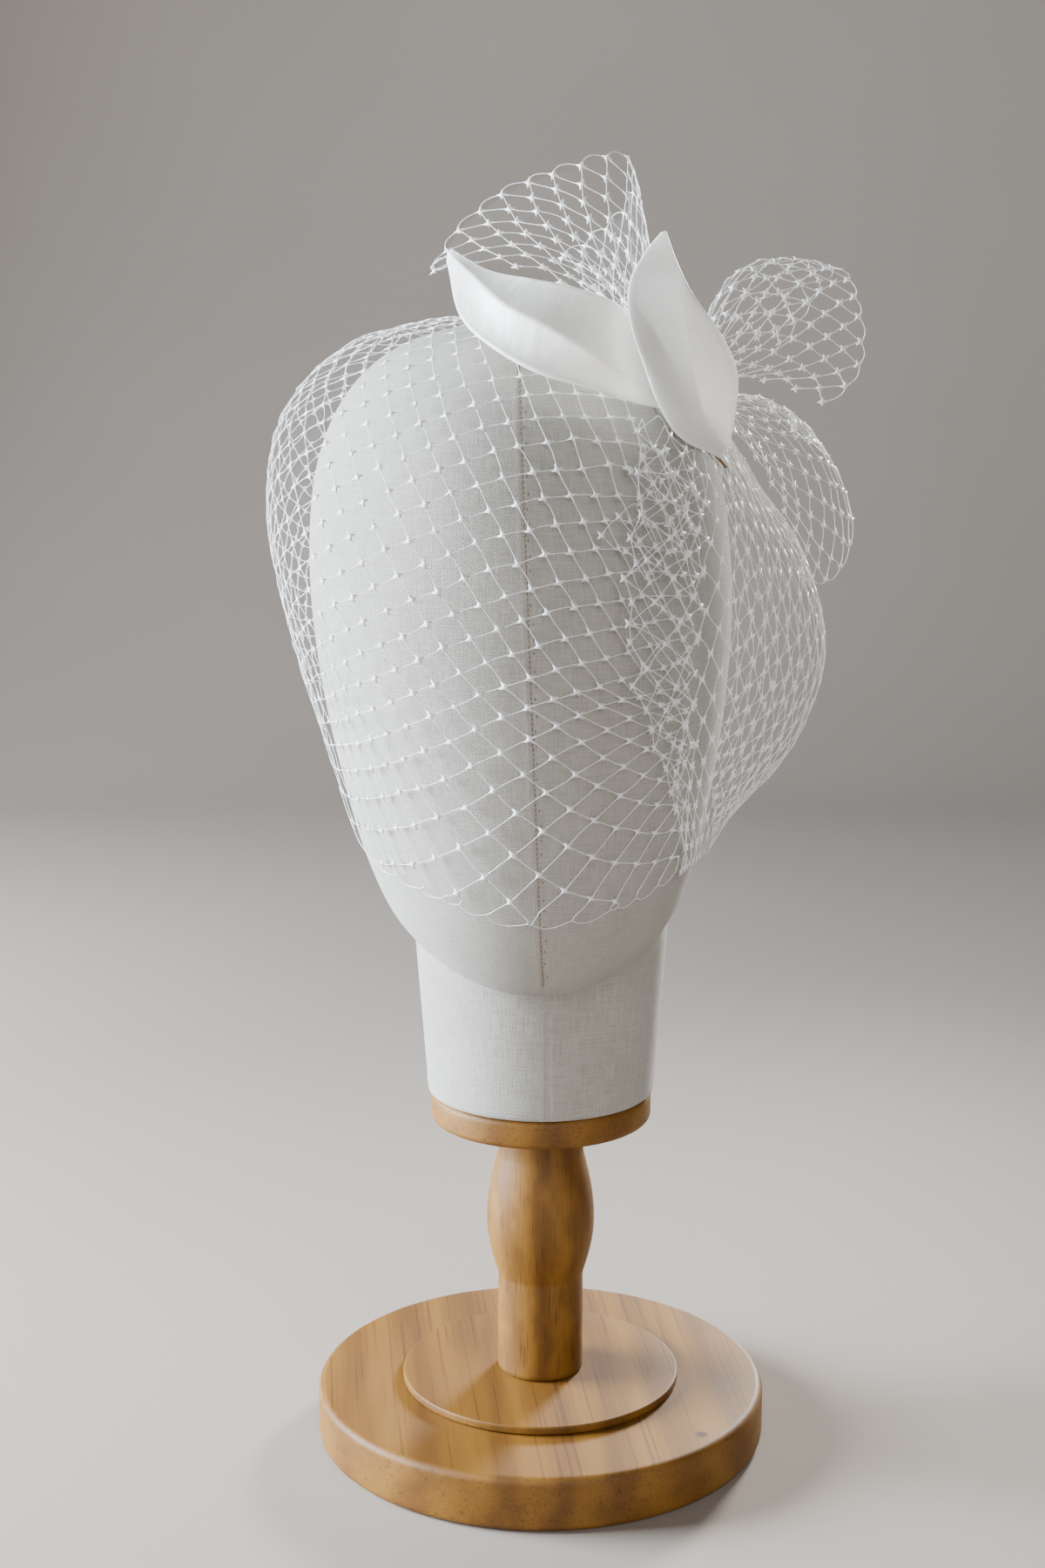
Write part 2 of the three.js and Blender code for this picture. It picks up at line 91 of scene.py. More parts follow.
def smoothStep(x, low, high):
    # 0 below low, 1 above high, eased between by 3t^2 - 2t^3
    t = np.clip((x - low) / (high - low), 0, 1)
    return t * t * (3 - 2 * t)


def gridQuads(rows, columns, wrap=False):
    # Corner numbers of the faces of a grid of points, its last column joined to its first if wrapped
    down, over = np.meshgrid(np.arange(rows - 1), np.arange(columns if wrap else columns - 1), indexing="ij")
    following = (over + 1) % columns
    return np.stack([down * columns + over, down * columns + following,
                     (down + 1) * columns + following, (down + 1) * columns + over], -1).reshape(-1, 4)


def outward(points, quads):
    # Faces turned round if the volume they enclose comes out negative
    a, b, c, d = (points[quads[:, k]] for k in range(4))
    volume = (a * np.cross(b, c)).sum() + (a * np.cross(c, d)).sum()
    return quads[:, ::-1] if volume < 0 else quads


def closedRound(rings, firstPoint, lastPoint):
    # Faces of a grid whose rows are rings, its two end rings closed by triangles to a point of their own
    rows, count = rings.shape[:2]
    ring = np.arange(count)
    following, top, first = (ring + 1) % count, (rows - 1) * count, rows * count
    triangles = np.concatenate([np.stack([following, ring, np.full(count, first)], -1),
                                np.stack([ring + top, following + top, np.full(count, first + 1)], -1)])
    points = np.concatenate([rings.reshape(-1, 3), [firstPoint, lastPoint]])
    return points, outward(points, gridQuads(rows, count, wrap=True)), triangles


def closedWall(outer, inner):
    # Two grids of the same size joined round their edge into one closed wall
    rows, columns = outer.shape[:2]
    points = np.concatenate([outer.reshape(-1, 3), inner.reshape(-1, 3)])
    back = rows * columns
    front = gridQuads(rows, columns)
    number = np.arange(back).reshape(rows, columns)
    rim = np.concatenate([number[0, :-1], number[:-1, -1], number[-1, :0:-1], number[:0:-1, 0]])
    following = np.roll(rim, -1)
    edge = np.stack([following, rim, rim + back, following + back], -1)
    return points, outward(points, np.concatenate([front, front[:, ::-1] + back, edge]))


def addObject(name, content):
    made = bpy.data.objects.new(name, content)
    bpy.context.scene.collection.objects.link(made)
    return made


def makePiece(name, points, quads, material, slot, replaces=(), uv=None, triangles=None, roundUv=0):
    # Mesh object from arrays of points in millimetres and faces, riding on the stand. Where the
    # cloth closes round, roundUv is its width, and the faces of the join run on past it
    faces = [quads] if triangles is None else [quads, triangles]
    corners = np.concatenate([part.ravel() for part in faces])
    sizes = np.concatenate([np.full(len(part), part.shape[1]) for part in faces])
    mesh = bpy.data.meshes.new(name)
    mesh.vertices.add(len(points))
    mesh.vertices.foreach_set("co", (np.asarray(points) * millimetre).astype(np.float32).ravel())
    mesh.loops.add(len(corners))
    mesh.loops.foreach_set("vertex_index", corners.astype(np.int32))
    mesh.polygons.add(len(sizes))
    mesh.polygons.foreach_set("loop_start", np.concatenate([[0], np.cumsum(sizes)[:-1]]).astype(np.int32))
    if uv is not None:
        layer = mesh.uv_layers.new(name="cloth")
        placed = np.asarray(uv)[corners]
        if roundUv:
            across = placed[:quads.size, 0].reshape(-1, 4)
            behind = across < across.max(1, keepdims=True) - roundUv / 2
            placed[:quads.size, 0] = (across + np.where(behind, roundUv, 0)).ravel()
        layer.data.foreach_set("uv", placed.astype(np.float32).ravel())
    mesh.polygons.foreach_set("use_smooth", np.ones(len(sizes), bool))
    mesh.update(calc_edges=True)
    mesh.validate()
    mesh.materials.append(material)
    piece = addObject(name, mesh)
    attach(piece, "root")
    if replaces:
        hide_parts(*replaces)
    return piece


# Materials

def newMaterial(name, onCloth=False):
    # A material, its nodes, its shader and the coordinates that it reads: the cloth's own or the object's
    material = bpy.data.materials.new(name)
    material.use_nodes = True
    tree = material.node_tree
    if onCloth:
        place = addNode(tree, "ShaderNodeUVMap", uv_map="cloth").outputs["UV"]
    else:
        place = addNode(tree, "ShaderNodeTexCoord").outputs["Object"]
    return material, tree, tree.nodes["Principled BSDF"], place


def setInputs(tree, node, inputs):
    # Each input takes a plain value or another node's socket
    for key, value in inputs.items():
        if isinstance(value, bpy.types.NodeSocket):
            tree.links.new(value, node.inputs[key])
        else:
            node.inputs[key].default_value = value


def addNode(tree, kind, inputs=None, **settings):
    node = tree.nodes.new(kind)
    for key, value in settings.items():
        setattr(node, key, value)
    setInputs(tree, node, inputs or {})
    return node


def colourRamp(tree, source, stops):
    ramp = addNode(tree, "ShaderNodeValToRGB", {"Fac": source})
    elements = ramp.color_ramp.elements
    while len(elements) < len(stops):
        elements.new(0.5)
    for element, (place, colour) in zip(elements, stops):
        element.position = place
        element.color = (*colour, 1)
    return ramp.outputs["Color"]


def multiplied(tree, colour, mask):
    node = addNode(tree, "ShaderNodeMix", data_type="RGBA", blend_type="MULTIPLY")
    setInputs(tree, node, {0: 1.0, 6: colour, 7: mask})
    return node.outputs[2]


def stretched(tree, source, scale, turn=(0, 0, 0)):
    # Coordinates turned and scaled, so that a pattern is drawn out or packed along an axis
    mapping = addNode(tree, "ShaderNodeMapping", {"Vector": source, "Scale": scale, "Rotation": turn})
    return mapping.outputs["Vector"]


def noise(tree, vector, scale, detail=4.0, roughness=0.5, distortion=0.0, output="Fac"):
    inputs = {"Vector": vector, "Scale": scale, "Detail": detail, "Roughness": roughness,
              "Distortion": distortion}
    return addNode(tree, "ShaderNodeTexNoise", inputs).outputs[output]


def calculate(tree, operation, first, second=0.0, third=0.0):
    inputs = {0: first, 1: second, 2: third}
    return addNode(tree, "ShaderNodeMath", inputs, operation=operation).outputs["Value"]


def vectorMath(tree, operation, first, second, output="Vector"):
    return addNode(tree, "ShaderNodeVectorMath", {0: first, 1: second}, operation=operation).outputs[output]


def weighed(tree, *parts):
    # Sum of values, each times its own weight
    total = None
    for source, weight in parts:
        part = calculate(tree, "MULTIPLY", source, weight)
        total = part if total is None else calculate(tree, "ADD", total, part)
    return total


def bump(tree, shader, height, distance, strength=1.0, under=None):
    # Relief of the given depth in metres, laid over another relief if one is given
    node = addNode(tree, "ShaderNodeBump", {"Height": height, "Distance": distance, "Strength": strength})
    if under is not None:
        tree.links.new(under, node.inputs["Normal"])
    tree.links.new(node.outputs["Normal"], shader.inputs["Normal"])
    return node.outputs["Normal"]


def plainWeave(tree, threads):
    # Height of a plain weave: rounded warp and weft threads, each on top at every other crossing
    across = addNode(tree, "ShaderNodeSeparateXYZ", {"Vector": threads})
    warp, weft = (calculate(tree, "SINE", calculate(tree, "MULTIPLY", across.outputs[axis], math.pi))
                  for axis in "XY")
    warpRound, weftRound = (calculate(tree, "POWER", calculate(tree, "ABSOLUTE", wave), 0.6)
                            for wave in (warp, weft))
    crossing = calculate(tree, "SIGN", calculate(tree, "MULTIPLY", warp, weft))
    over = calculate(tree, "MULTIPLY_ADD", crossing, 0.5, 0.5)
    return weighed(tree, (warpRound, over), (weftRound, calculate(tree, "SUBTRACT", 1.0, over)))


linenLook = {
    "light": (0.50, 0.475, 0.43), "middle": (0.35, 0.328, 0.29), "dark": (0.19, 0.172, 0.145),
    "threadWidth": 0.62,      # of one warp or weft thread, in the millimetres of the cloth
    "relief": 0.00022, "roughness": 0.88, "sheen": 0.25,
}


def linenMaterial():
    # Plain weave on the cloth's own coordinates, with slubs, uneven threads and soft staining, and painted
    # shade between the woven threads
    material, tree, shader, cloth = newMaterial("linen weave", onCloth=True)
    density = 1 / linenLook["threadWidth"]
    wander = vectorMath(tree, "MULTIPLY", noise(tree, cloth, 0.12, 2.0, output="Color"), (1.6, 1.6, 0))
    moved = vectorMath(tree, "ADD", cloth, wander)
    weave = plainWeave(tree, stretched(tree, moved, (density, density, 1)))
    slubsAcross, slubsDown = (noise(tree, stretched(tree, cloth, scale), 1.0, 3.0)
                              for scale in ((0.10, 1.3, 1), (1.3, 0.10, 1)))
    slubs = calculate(tree, "MULTIPLY", slubsAcross, slubsDown)
    stain = noise(tree, cloth, 0.025, 3.0)
    # Partly painted shade: the weave's low places between the threads are darker; slubs and stains are the
    # linen's own tone
    tone = weighed(tree, (weave, 0.52), (slubs, 0.95), (stain, 0.28))
    stops = [(0.34, linenLook["dark"]), (0.62, linenLook["middle"]), (0.92, linenLook["light"])]
    setInputs(tree, shader, {"Base Color": colourRamp(tree, tone, stops), "Roughness": linenLook["roughness"],
                             "Sheen Weight": linenLook["sheen"], "Sheen Roughness": 0.5})
    bump(tree, shader, weighed(tree, (weave, 1.0), (slubs, 1.6)), linenLook["relief"], 0.9)
    return material


woodLook = {
    "pale": (0.245, 0.114, 0.013), "middle": (0.175, 0.074, 0.007), "dark": (0.11, 0.042, 0.004),
    "ringScale": 16.0,        # growth rings in a metre of the pattern
    "knotPlace": (0.059, -0.052, 0.0205), "knotSize": 0.0030, "knotColour": (0.24, 0.17, 0.11),
    "poreColour": (0.66, 0.6, 0.55), "smoothest": 0.50, "roughest": 0.66, "relief": 0.00007,
    "discTurn": -38,          # of the discs' grain about the upright axis, in degrees
}


def woodMaterial(name, turn, stretch):
    # Rings drawn out along the grain, finer streaks and pores over them, and a waxed surface
    material, tree, shader, place = newMaterial(name)
    grain = stretched(tree, place, stretch, turn)
    drift = noise(tree, grain, 6.0, 3.0, 0.5, 0.4)
    waves = {"Vector": grain, "Scale": woodLook["ringScale"], "Distortion": 5.5, "Detail": 3.0,
             "Detail Scale": 1.4, "Detail Roughness": 0.6}
    rings = addNode(tree, "ShaderNodeTexWave", waves, bands_direction="X").outputs["Fac"]
    streaks = noise(tree, stretched(tree, grain, (9, 1, 9)), 18.0, 6.0, 0.65)
    pores = noise(tree, stretched(tree, grain, (26, 1.2, 26)), 42.0, 2.0, 0.5)
    tone = weighed(tree, (rings, 0.26), (streaks, 0.42), (drift, 0.42))
    stops = [(0.34, woodLook["dark"]), (0.56, woodLook["middle"]), (0.84, woodLook["pale"])]
    poreMask = colourRamp(tree, pores, [(0.33, woodLook["poreColour"]), (0.41, (1, 1, 1))])
    away = vectorMath(tree, "DISTANCE", place, woodLook["knotPlace"], "Value")
    near = calculate(tree, "MULTIPLY", away, 0.1 / woodLook["knotSize"])
    knotMask = colourRamp(tree, near, [(0.05, woodLook["knotColour"]), (0.1, (1, 1, 1))])
    colour = multiplied(tree, multiplied(tree, colourRamp(tree, tone, stops), poreMask), knotMask)
    wear = noise(tree, place, 30.0)
    limits = {"Value": wear, "To Min": woodLook["smoothest"], "To Max": woodLook["roughest"]}
    wear = addNode(tree, "ShaderNodeMapRange", limits).outputs["Result"]
    setInputs(tree, shader, {"Base Color": colour, "Roughness": wear, "Specular IOR Level": 0.35})
    bump(tree, shader, weighed(tree, (streaks, 0.6), (pores, 0.6)), woodLook["relief"], 0.7)
    return material


satinLook = {
    "colour": (0.97, 0.955, 0.91), "shade": (0.88, 0.86, 0.80),
    "roughness": 0.34, "sheen": 0.5,
    "scatter": 0.5, "scatterReach": 0.004, "scatterColour": (1.0, 0.97, 0.9),     # light let through
}


def satinMaterial():
    # Ivory satin: long floats of thread across the leaf, faint puckers and a soft sheen, with painted shade
    # along the floats' streaks and in the puckers
    material, tree, shader, cloth = newMaterial("ivory satin", onCloth=True)
    floats = noise(tree, stretched(tree, cloth, (0.35, 5.5, 1)), 1.0, 3.0, 0.6)
    pucker = noise(tree, stretched(tree, cloth, (0.05, 0.16, 1)), 1.0, 3.0, 0.5)
    tone = weighed(tree, (floats, 0.45), (pucker, 0.55))
    # Painted shade: the colour goes darker along the floats' streaks and in the puckers
    colour = colourRamp(tree, tone, [(0.25, satinLook["shade"]), (0.62, satinLook["colour"])])
    setInputs(tree, shader, {"Base Color": colour, "Roughness": satinLook["roughness"],
                             "Sheen Weight": satinLook["sheen"], "Sheen Roughness": 0.35,
                             "Anisotropic": 0.45, "Specular IOR Level": 0.45,
                             "Subsurface Weight": satinLook["scatter"],
                             "Subsurface Scale": satinLook["scatterReach"],
                             "Subsurface Radius": satinLook["scatterColour"]})
    under = bump(tree, shader, pucker, 0.0012, 0.5)
    bump(tree, shader, floats, 0.00010, 0.6, under)
    return material


netLook = {
    "thread": (0.94, 0.94, 0.935), "shade": (0.82, 0.82, 0.81), "roughness": 0.42, "sheen": 0.4,
    "ground": (0.95, 0.95, 0.95), "groundAlpha": 0.02,
}


def threadMaterial():
    # Stiffened silky thread: twisted filaments show as fine streaks of light and shade
    material, tree, shader, place = newMaterial("net thread")
    fibres = noise(tree, place, 2600.0, 2.0, 0.6)
    tone = weighed(tree, (fibres, 0.5), (noise(tree, place, 60.0, 3.0, 0.5), 0.5))
    colour = colourRamp(tree, tone, [(0.32, netLook["shade"]), (0.60, netLook["thread"])])
    setInputs(tree, shader, {"Base Color": colour, "Roughness": netLook["roughness"],
                             "Sheen Weight": netLook["sheen"]})
    bump(tree, shader, fibres, 0.00008, 0.7)
    return material


def mottledMaterial(name, light, dark, scale, roughness, detail=3.0, alpha=1.0):
    # Soft patches between a dark and a light tone, as a plain noise of the given scale
    material, tree, shader, place = newMaterial(name)
    patches = noise(tree, place, scale, detail)
    colour = colourRamp(tree, patches, [(0.3, dark), (0.7, light)])
    setInputs(tree, shader, {"Base Color": colour, "Roughness": roughness, "Alpha": alpha})
    return material


def stitchMaterial(name, light, dark):
    # Twisted sewing thread: fine light and dark plies along each stitch
    material, tree, shader, place = newMaterial(name)
    plies = noise(tree, place, 1900.0, 3.0, 0.6)
    colour = colourRamp(tree, plies, [(0.35, dark), (0.65, light)])
    setInputs(tree, shader, {"Base Color": colour, "Roughness": 0.7})
    bump(tree, shader, plies, 0.00010, 0.8)
    return material


linen = linenMaterial()
discWood = woodMaterial("wood across the grain", (0, 0, math.radians(woodLook["discTurn"])), (1.0, 0.13, 1.0))
postWood = woodMaterial("wood along the post", (math.radians(90), 0, 0), (1.5, 0.10, 1.5))
satin = satinMaterial()
thread = threadMaterial()
# The net's almost clear ground is only as visible as the fine fuzz between its threads
ground = mottledMaterial("net ground", netLook["ground"], netLook["shade"], scale=400.0, roughness=0.8,
                         alpha=netLook["groundAlpha"])
tanStitch = stitchMaterial("tan stitching", (0.25, 0.14, 0.065), (0.10, 0.05, 0.02))
# Near-black colour that stands in for the shade inside needle holes: painted shade
needleHoleShade = stitchMaterial("painted shade of needle holes", (0.10, 0.07, 0.05), (0.03, 0.02, 0.015))
brownWire = stitchMaterial("brown wire", (0.30, 0.20, 0.12), (0.14, 0.08, 0.05))
print("materials made")


# Stand

stand = {
    "baseRadius": 86.5, "baseHeight": 20.5, "baseEdge": 3.0,
    "riserRadius": 53.5, "riserHeight": 3.2, "riserEdge": 0.8,
    "postRadius": 16.4, "bulbRadius": 20.7, "bulbStart": 63.0, "bulbWidest": 85.0, "bulbEnd": 112.0,
    "plateRadius": 42.0, "plateBottom": 126.0, "plateHeight": 11.0, "plateEdge": 2.5,
    "gap": 0.3, "roundSteps": 160, "edgeSteps": 8, "flatStart": 0.15, "flatSteps": 5,
    "postEdge": 0.5, "postEnd": 2.0, "postSteps": 6, "bulbSteps": 44,
}
riserBottom = stand["baseHeight"] + stand["gap"]
plateTop = stand["plateBottom"] + stand["plateHeight"]


def turnedPiece(name, radii, heights, material, node):
    # A profile of radius and height swept round the upright axis, closed at its two ends on the axis
    angle = np.arange(stand["roundSteps"]) / stand["roundSteps"] * 2 * np.pi
    rings = vectors(radii[:, None] * np.cos(angle), radii[:, None] * np.sin(angle), heights[:, None])
    points, quads, triangles = closedRound(rings, [0, 0, heights[0]], [0, 0, heights[-1]])
    makePiece(name, points, quads, material, "wood", (node,), triangles=triangles)


def roundedProfile(radius, bottom, top, edge):
    # Out along the underside, round a quarter circle, up the side, round another and in along the top
    quarter = np.linspace(0, np.pi / 2, stand["edgeSteps"])
    flatIn = np.linspace(stand["flatStart"], 1, stand["flatSteps"]) * (radius - edge)
    flat = np.ones(stand["flatSteps"] - 1)
    lowerR, lowerZ = radius - edge + edge * np.sin(quarter), bottom + edge - edge * np.cos(quarter)
    upperR, upperZ = radius - edge + edge * np.cos(quarter), top - edge + edge * np.sin(quarter)
    radii = np.concatenate([flatIn[:-1], lowerR, upperR, flatIn[-2::-1]])
    return radii, np.concatenate([flat * bottom, lowerZ, upperZ, flat * top])


def postProfile(bottom, top):
    # Straight post with a bulb: each half of the bulb follows a quarter of a cosine to its widest place
    start, widest, end = stand["bulbStart"], stand["bulbWidest"], stand["bulbEnd"]
    edge, inner = stand["postEdge"], stand["postEnd"]
    heights = np.concatenate([[bottom, bottom + edge],
                              np.linspace(bottom + inner, start - 1, stand["postSteps"]),
                              np.linspace(start, end, stand["bulbSteps"]), [top - inner, top - edge, top]])
    span = np.where(heights < widest, widest - start, end - widest)
    swell = np.cos(np.clip((heights - widest) / span, -1, 1) * np.pi / 2)
    radii = stand["postRadius"] + (stand["bulbRadius"] - stand["postRadius"]) * swell
    radii[[0, -1]] -= edge
    return radii, heights


for name, node, key, bottom in (("base_disc", "stand_base", "base", 0),
                                ("riser_disc", "stand_riser", "riser", riserBottom),
                                ("plate_disc", "neck_plate", "plate", stand["plateBottom"])):
    radius, height, edge = (stand[key + part] for part in ("Radius", "Height", "Edge"))
    turnedPiece(name, *roundedProfile(radius, bottom, bottom + height, edge), discWood, node)
postBottom = riserBottom + stand["riserHeight"] + stand["gap"]
postTop = stand["plateBottom"] - stand["gap"]
turnedPiece("turned_post", *postProfile(postBottom, postTop), postWood, "stand_post")
print("stand turned")


# Head

# Sections from under the chin to the crown: reach to the front and back of the stand's axis,
# half width, and how far the section's middle leans aside
headRows = table("height halfWidth front back centreX", [
    [187, 0.5, 46.5, -45.5, -1.5],
    [189, 17, 58, -25, -1.6],
    [194, 30.5, 67.5, 4, -1.9],
    [202, 42.5, 75.5, 28, -2.3],
    [215, 53, 83, 46.5, -3],
    [236, 61.5, 89.5, 61.5, -3.9],
    [262, 68, 94, 74, -4.9],
    [292, 73.5, 96.5, 85, -6.1],
    [322, 76.5, 96.5, 92.5, -7.2],
    [350, 76, 93.5, 95, -8.3],
    [374, 72, 86.5, 91.5, -9.2],
    [393.5, 63.5, 75, 81.5, -9.9],
    [408, 51, 59.5, 66, -10.4],
    [417, 35.5, 41, 47, -10.8],
    [421.7, 18, 20.5, 25, -11],
    [423, 0.5, 0.5, 1.5, -11.1],
])
headCentre = np.array([-7.0, 0.0, 325.0])
head = {
    "rings": 150, "fineSpread": 5.0, "fineStep": 0.32, "coarseColumns": 150,
    "seamShift": 2.2,         # of the centre seam, to the head's left
    "grooveDepth": 0.28, "grooveWidth": 0.4, "lipHeight": 0.1, "lipPlace": 1.5, "lipWidth": 1.0,
    "uvWidth": 520.0, "ringSpan": (0.02, 0.98), "endLifts": (-0.3, 0.2),
    "tableSteps": 601, "leastReach": 20.0, "mostReach": 190.0, "halvings": 18,
}


def headSection(place):
    # Height, half sizes and centre of the head's ellipse at a place of its table
    row = readTable(headRows, place)
    front, back = row["front"], row["back"]
    return row["height"], row["halfWidth"], (front + back) / 2, row["centreX"], (back - front) / 2


sections = np.stack(headSection(np.linspace(0, 1, head["tableSteps"])))


def ellipseAt(height):
    # Half sizes and centre of the head's ellipse at a height
    return [np.interp(height, sections[0], column) for column in sections[1:]]


def isOutsideHead(points):
    # Outside the ellipse of its height: (x/a)^2 + (y/b)^2 is over 1, or above or below them all
    z = points[..., 2]
    a, b, x0, y0 = ellipseAt(z)
    x, y = (points[..., 0] - x0) / a, (points[..., 1] - y0) / b
    return (x * x + y * y > 1) | (z <= sections[0, 0]) | (z >= sections[0, -1])


def headRadius(directions):
    # Reach of the head from its centre along each direction, found by halving
    low, high = (np.full(directions.shape[:-1], head[end]) for end in ("leastReach", "mostReach"))
    for _ in range(head["halvings"]):
        middle = (low + high) / 2
        out = isOutsideHead(headCentre + directions * middle[..., None])
        low, high = np.where(out, low, middle), np.where(out, middle, high)
    return low


def heightOffHead(points):
    reach = points - headCentre
    return lengthOf(reach) - headRadius(unit(reach))


def headPoint(directions, lift):
    return headCentre + directions * (headRadius(directions) + lift)[..., None]


def directionOf(turn, rise):
    # Unit vector: turn goes round from the front, rise is above the level, both in degrees
    turn, rise = np.radians(turn), np.radians(rise)
    return vectors(-np.cos(rise) * np.sin(turn), -np.cos(rise) * np.cos(turn), np.sin(rise))


def axesAt(turn, rise):
    # A direction from the head's centre, and the level and the upward one square to it
    centre = directionOf(turn, rise)
    sideways = unit(np.cross([0, 0, 1], centre))
    return centre, sideways, np.cross(centre, sideways)


def betweenDirections(start, end, share):
    # Along the great circle: the sines of the two remaining angles weigh the two ends
    angle = np.arccos(np.clip((start * end).sum(-1), -1, 1))[..., None]
    share = np.asarray(share)[..., None]
    return (np.sin((1 - share) * angle) * start + np.sin(share * angle) * end) / np.sin(angle)


def seamRelief(aside, scale=1.0):
    # Narrow groove between two raised lips, as bell curves of the distance from the seam
    return scale * (-head["grooveDepth"] * np.exp(-(aside / head["grooveWidth"])**2)
                    + head["lipHeight"] * np.exp(-((np.abs(aside) - head["lipPlace"]) / head["lipWidth"])**2))


def buildHead():
    # Ellipses from chin to crown, with columns crowded at the front, where the seam is sunk
    spread = head["fineSpread"]
    half = np.linspace(spread, 180, head["coarseColumns"] // 2, endpoint=False)
    fine = np.arange(-spread, spread, head["fineStep"])
    angle = np.radians(np.concatenate([[-180], -half[:0:-1], fine, half]))
    place = (1 - np.cos(np.linspace(*head["ringSpan"], head["rings"]) * np.pi)) / 2
    height, a, b, x0, y0 = (v[:, None] for v in headSection(place))
    x, y = x0 + a * np.sin(angle), y0 - b * np.cos(angle)
    relief = np.where(np.cos(angle) > 0, seamRelief(x - (x0 + head["seamShift"])), 0)
    normal = unit(vectors((x - x0) / a**2, (y - y0) / b**2, 0))
    rings = vectors(x, y, height) + normal * relief[..., None]
    rise = lengthOf(np.diff(rings, axis=0, prepend=rings[:1])).mean(1)
    uv = vectors(np.degrees(angle) * head["uvWidth"] / 360, np.cumsum(rise)[:, None]).reshape(-1, 2)
    uv = np.concatenate([uv, [[0, 0], [0, rise.sum()]]])
    ends = [[x0[k, 0], y0[k, 0], height[k, 0] + lift] for k, lift in zip((0, -1), head["endLifts"])]
    points, quads, triangles = closedRound(rings, *ends)
    makePiece("linen_head", points, quads, linen, "linen", ("head_form",), uv, triangles, head["uvWidth"])


neck = {
    "bottomRadius": 42.8, "topRadius": 47.3, "taperEnd": 196.0, "top": 205.0, "hem": 0.7, "hemSwell": 0.25,
    "hemEdge": 0.6, "hemEnd": 1.6, "swellHeight": 4.0, "swellWidth": 1.2, "topSwell": 0.5,
    "columns": 260, "rings": 40, "seamShift": 2.0, "seamScale": 0.6,
}


def buildNeck():
    # Straight taper with a turned hem at the foot; its top ends inside the head
    angle = np.linspace(-np.pi, np.pi, neck["columns"], endpoint=False)
    bottom, top = plateTop + stand["gap"], neck["top"]
    heights = np.concatenate([[bottom, bottom + neck["hemEdge"]],
                              np.linspace(bottom + neck["hemEnd"], top, neck["rings"])])
    radii = np.interp(heights, [bottom, neck["taperEnd"], top],
                      [neck["bottomRadius"], neck["topRadius"], neck["topRadius"] + neck["topSwell"]])
    radii = radii - np.where(heights == bottom, neck["hem"], 0)
    offSwell = (heights - bottom - neck["swellHeight"]) / neck["swellWidth"]
    radii = (radii + neck["hemSwell"] * np.exp(-offSwell**2))[:, None]
    relief = seamRelief(radii * np.sin(angle) - neck["seamShift"], neck["seamScale"])
    radii = radii + np.where(np.cos(angle) > 0, relief, 0)
    rings = vectors(radii * np.sin(angle), -radii * np.cos(angle), heights[:, None])
    uv = vectors(angle * neck["bottomRadius"], heights[:, None]).reshape(-1, 2)
    uv = np.concatenate([uv, [[0, bottom], [0, top]]])
    points, quads, triangles = closedRound(rings, [0, 0, bottom], [0, 0, top])
    width = 2 * np.pi * neck["bottomRadius"]
    makePiece("linen_neck", points, quads, linen, "linen", ("head_neck",), uv, triangles, width)


def tubes(paths, radius, sides=5):
    # Round tubes along many paths at once: rings in the plane of two directions square to each path.
    # paths is (count, steps, 3); radius is one number or (steps,) or (count, steps)
    count, steps = paths.shape[:2]
    along = unit(np.gradient(paths, axis=1))
    main = unit(paths[:, -1] - paths[:, 0])
    axis = np.eye(3)[np.abs(main).argmin(-1)][:, None]
    side = unit(np.cross(along, axis))
    lift = np.cross(side, along)
    angle = np.arange(sides) / sides * 2 * np.pi
    ring = side[..., None, :] * np.cos(angle)[:, None] + lift[..., None, :] * np.sin(angle)[:, None]
    reach = np.broadcast_to(radius, (count, steps))[..., None, None]
    points = (paths[..., None, :] + ring * reach).reshape(-1, 3)
    one = gridQuads(steps, sides, wrap=True)[:, ::-1]
    quads = (one[None] + (np.arange(count) * steps * sides)[:, None, None]).reshape(-1, 4)
    return points, quads


def onHead(aside, height, lift):
    # Point of the front of the head, aside from its seam and moved out by lift
    a, b, x0, y0 = ellipseAt(height)
    x = x0 + head["seamShift"] + aside
    inside = np.clip(1 - ((x - x0) / a)**2, 0, 1)
    return vectors(x, y0 - b * np.sqrt(inside) - lift, height)


seamStitches = {
    "spacing": 1.7, "length": 1.25, "slant": 0.3, "radius": 0.17, "lift": -0.1, "arch": 0.22,
    "top": 419.0, "bottom": 196.0, "taper": (0.5, 1, 1.05, 1, 0.5),
}
# Dark dots of painted shade, one for each needle hole beside the seam
needleHoleShades = {
    "top": 394.0, "bottom": 200.0, "spacing": 5.2, "heightStray": (-0.8, 0.8),
    "aside": 1.3, "asideStray": (-0.4, 0.5), "lift": 0.2,
    "radius": 0.17, "steps": (-0.5, -0.17, 0.17, 0.5), "taper": (0.3, 1, 1, 0.3),
}


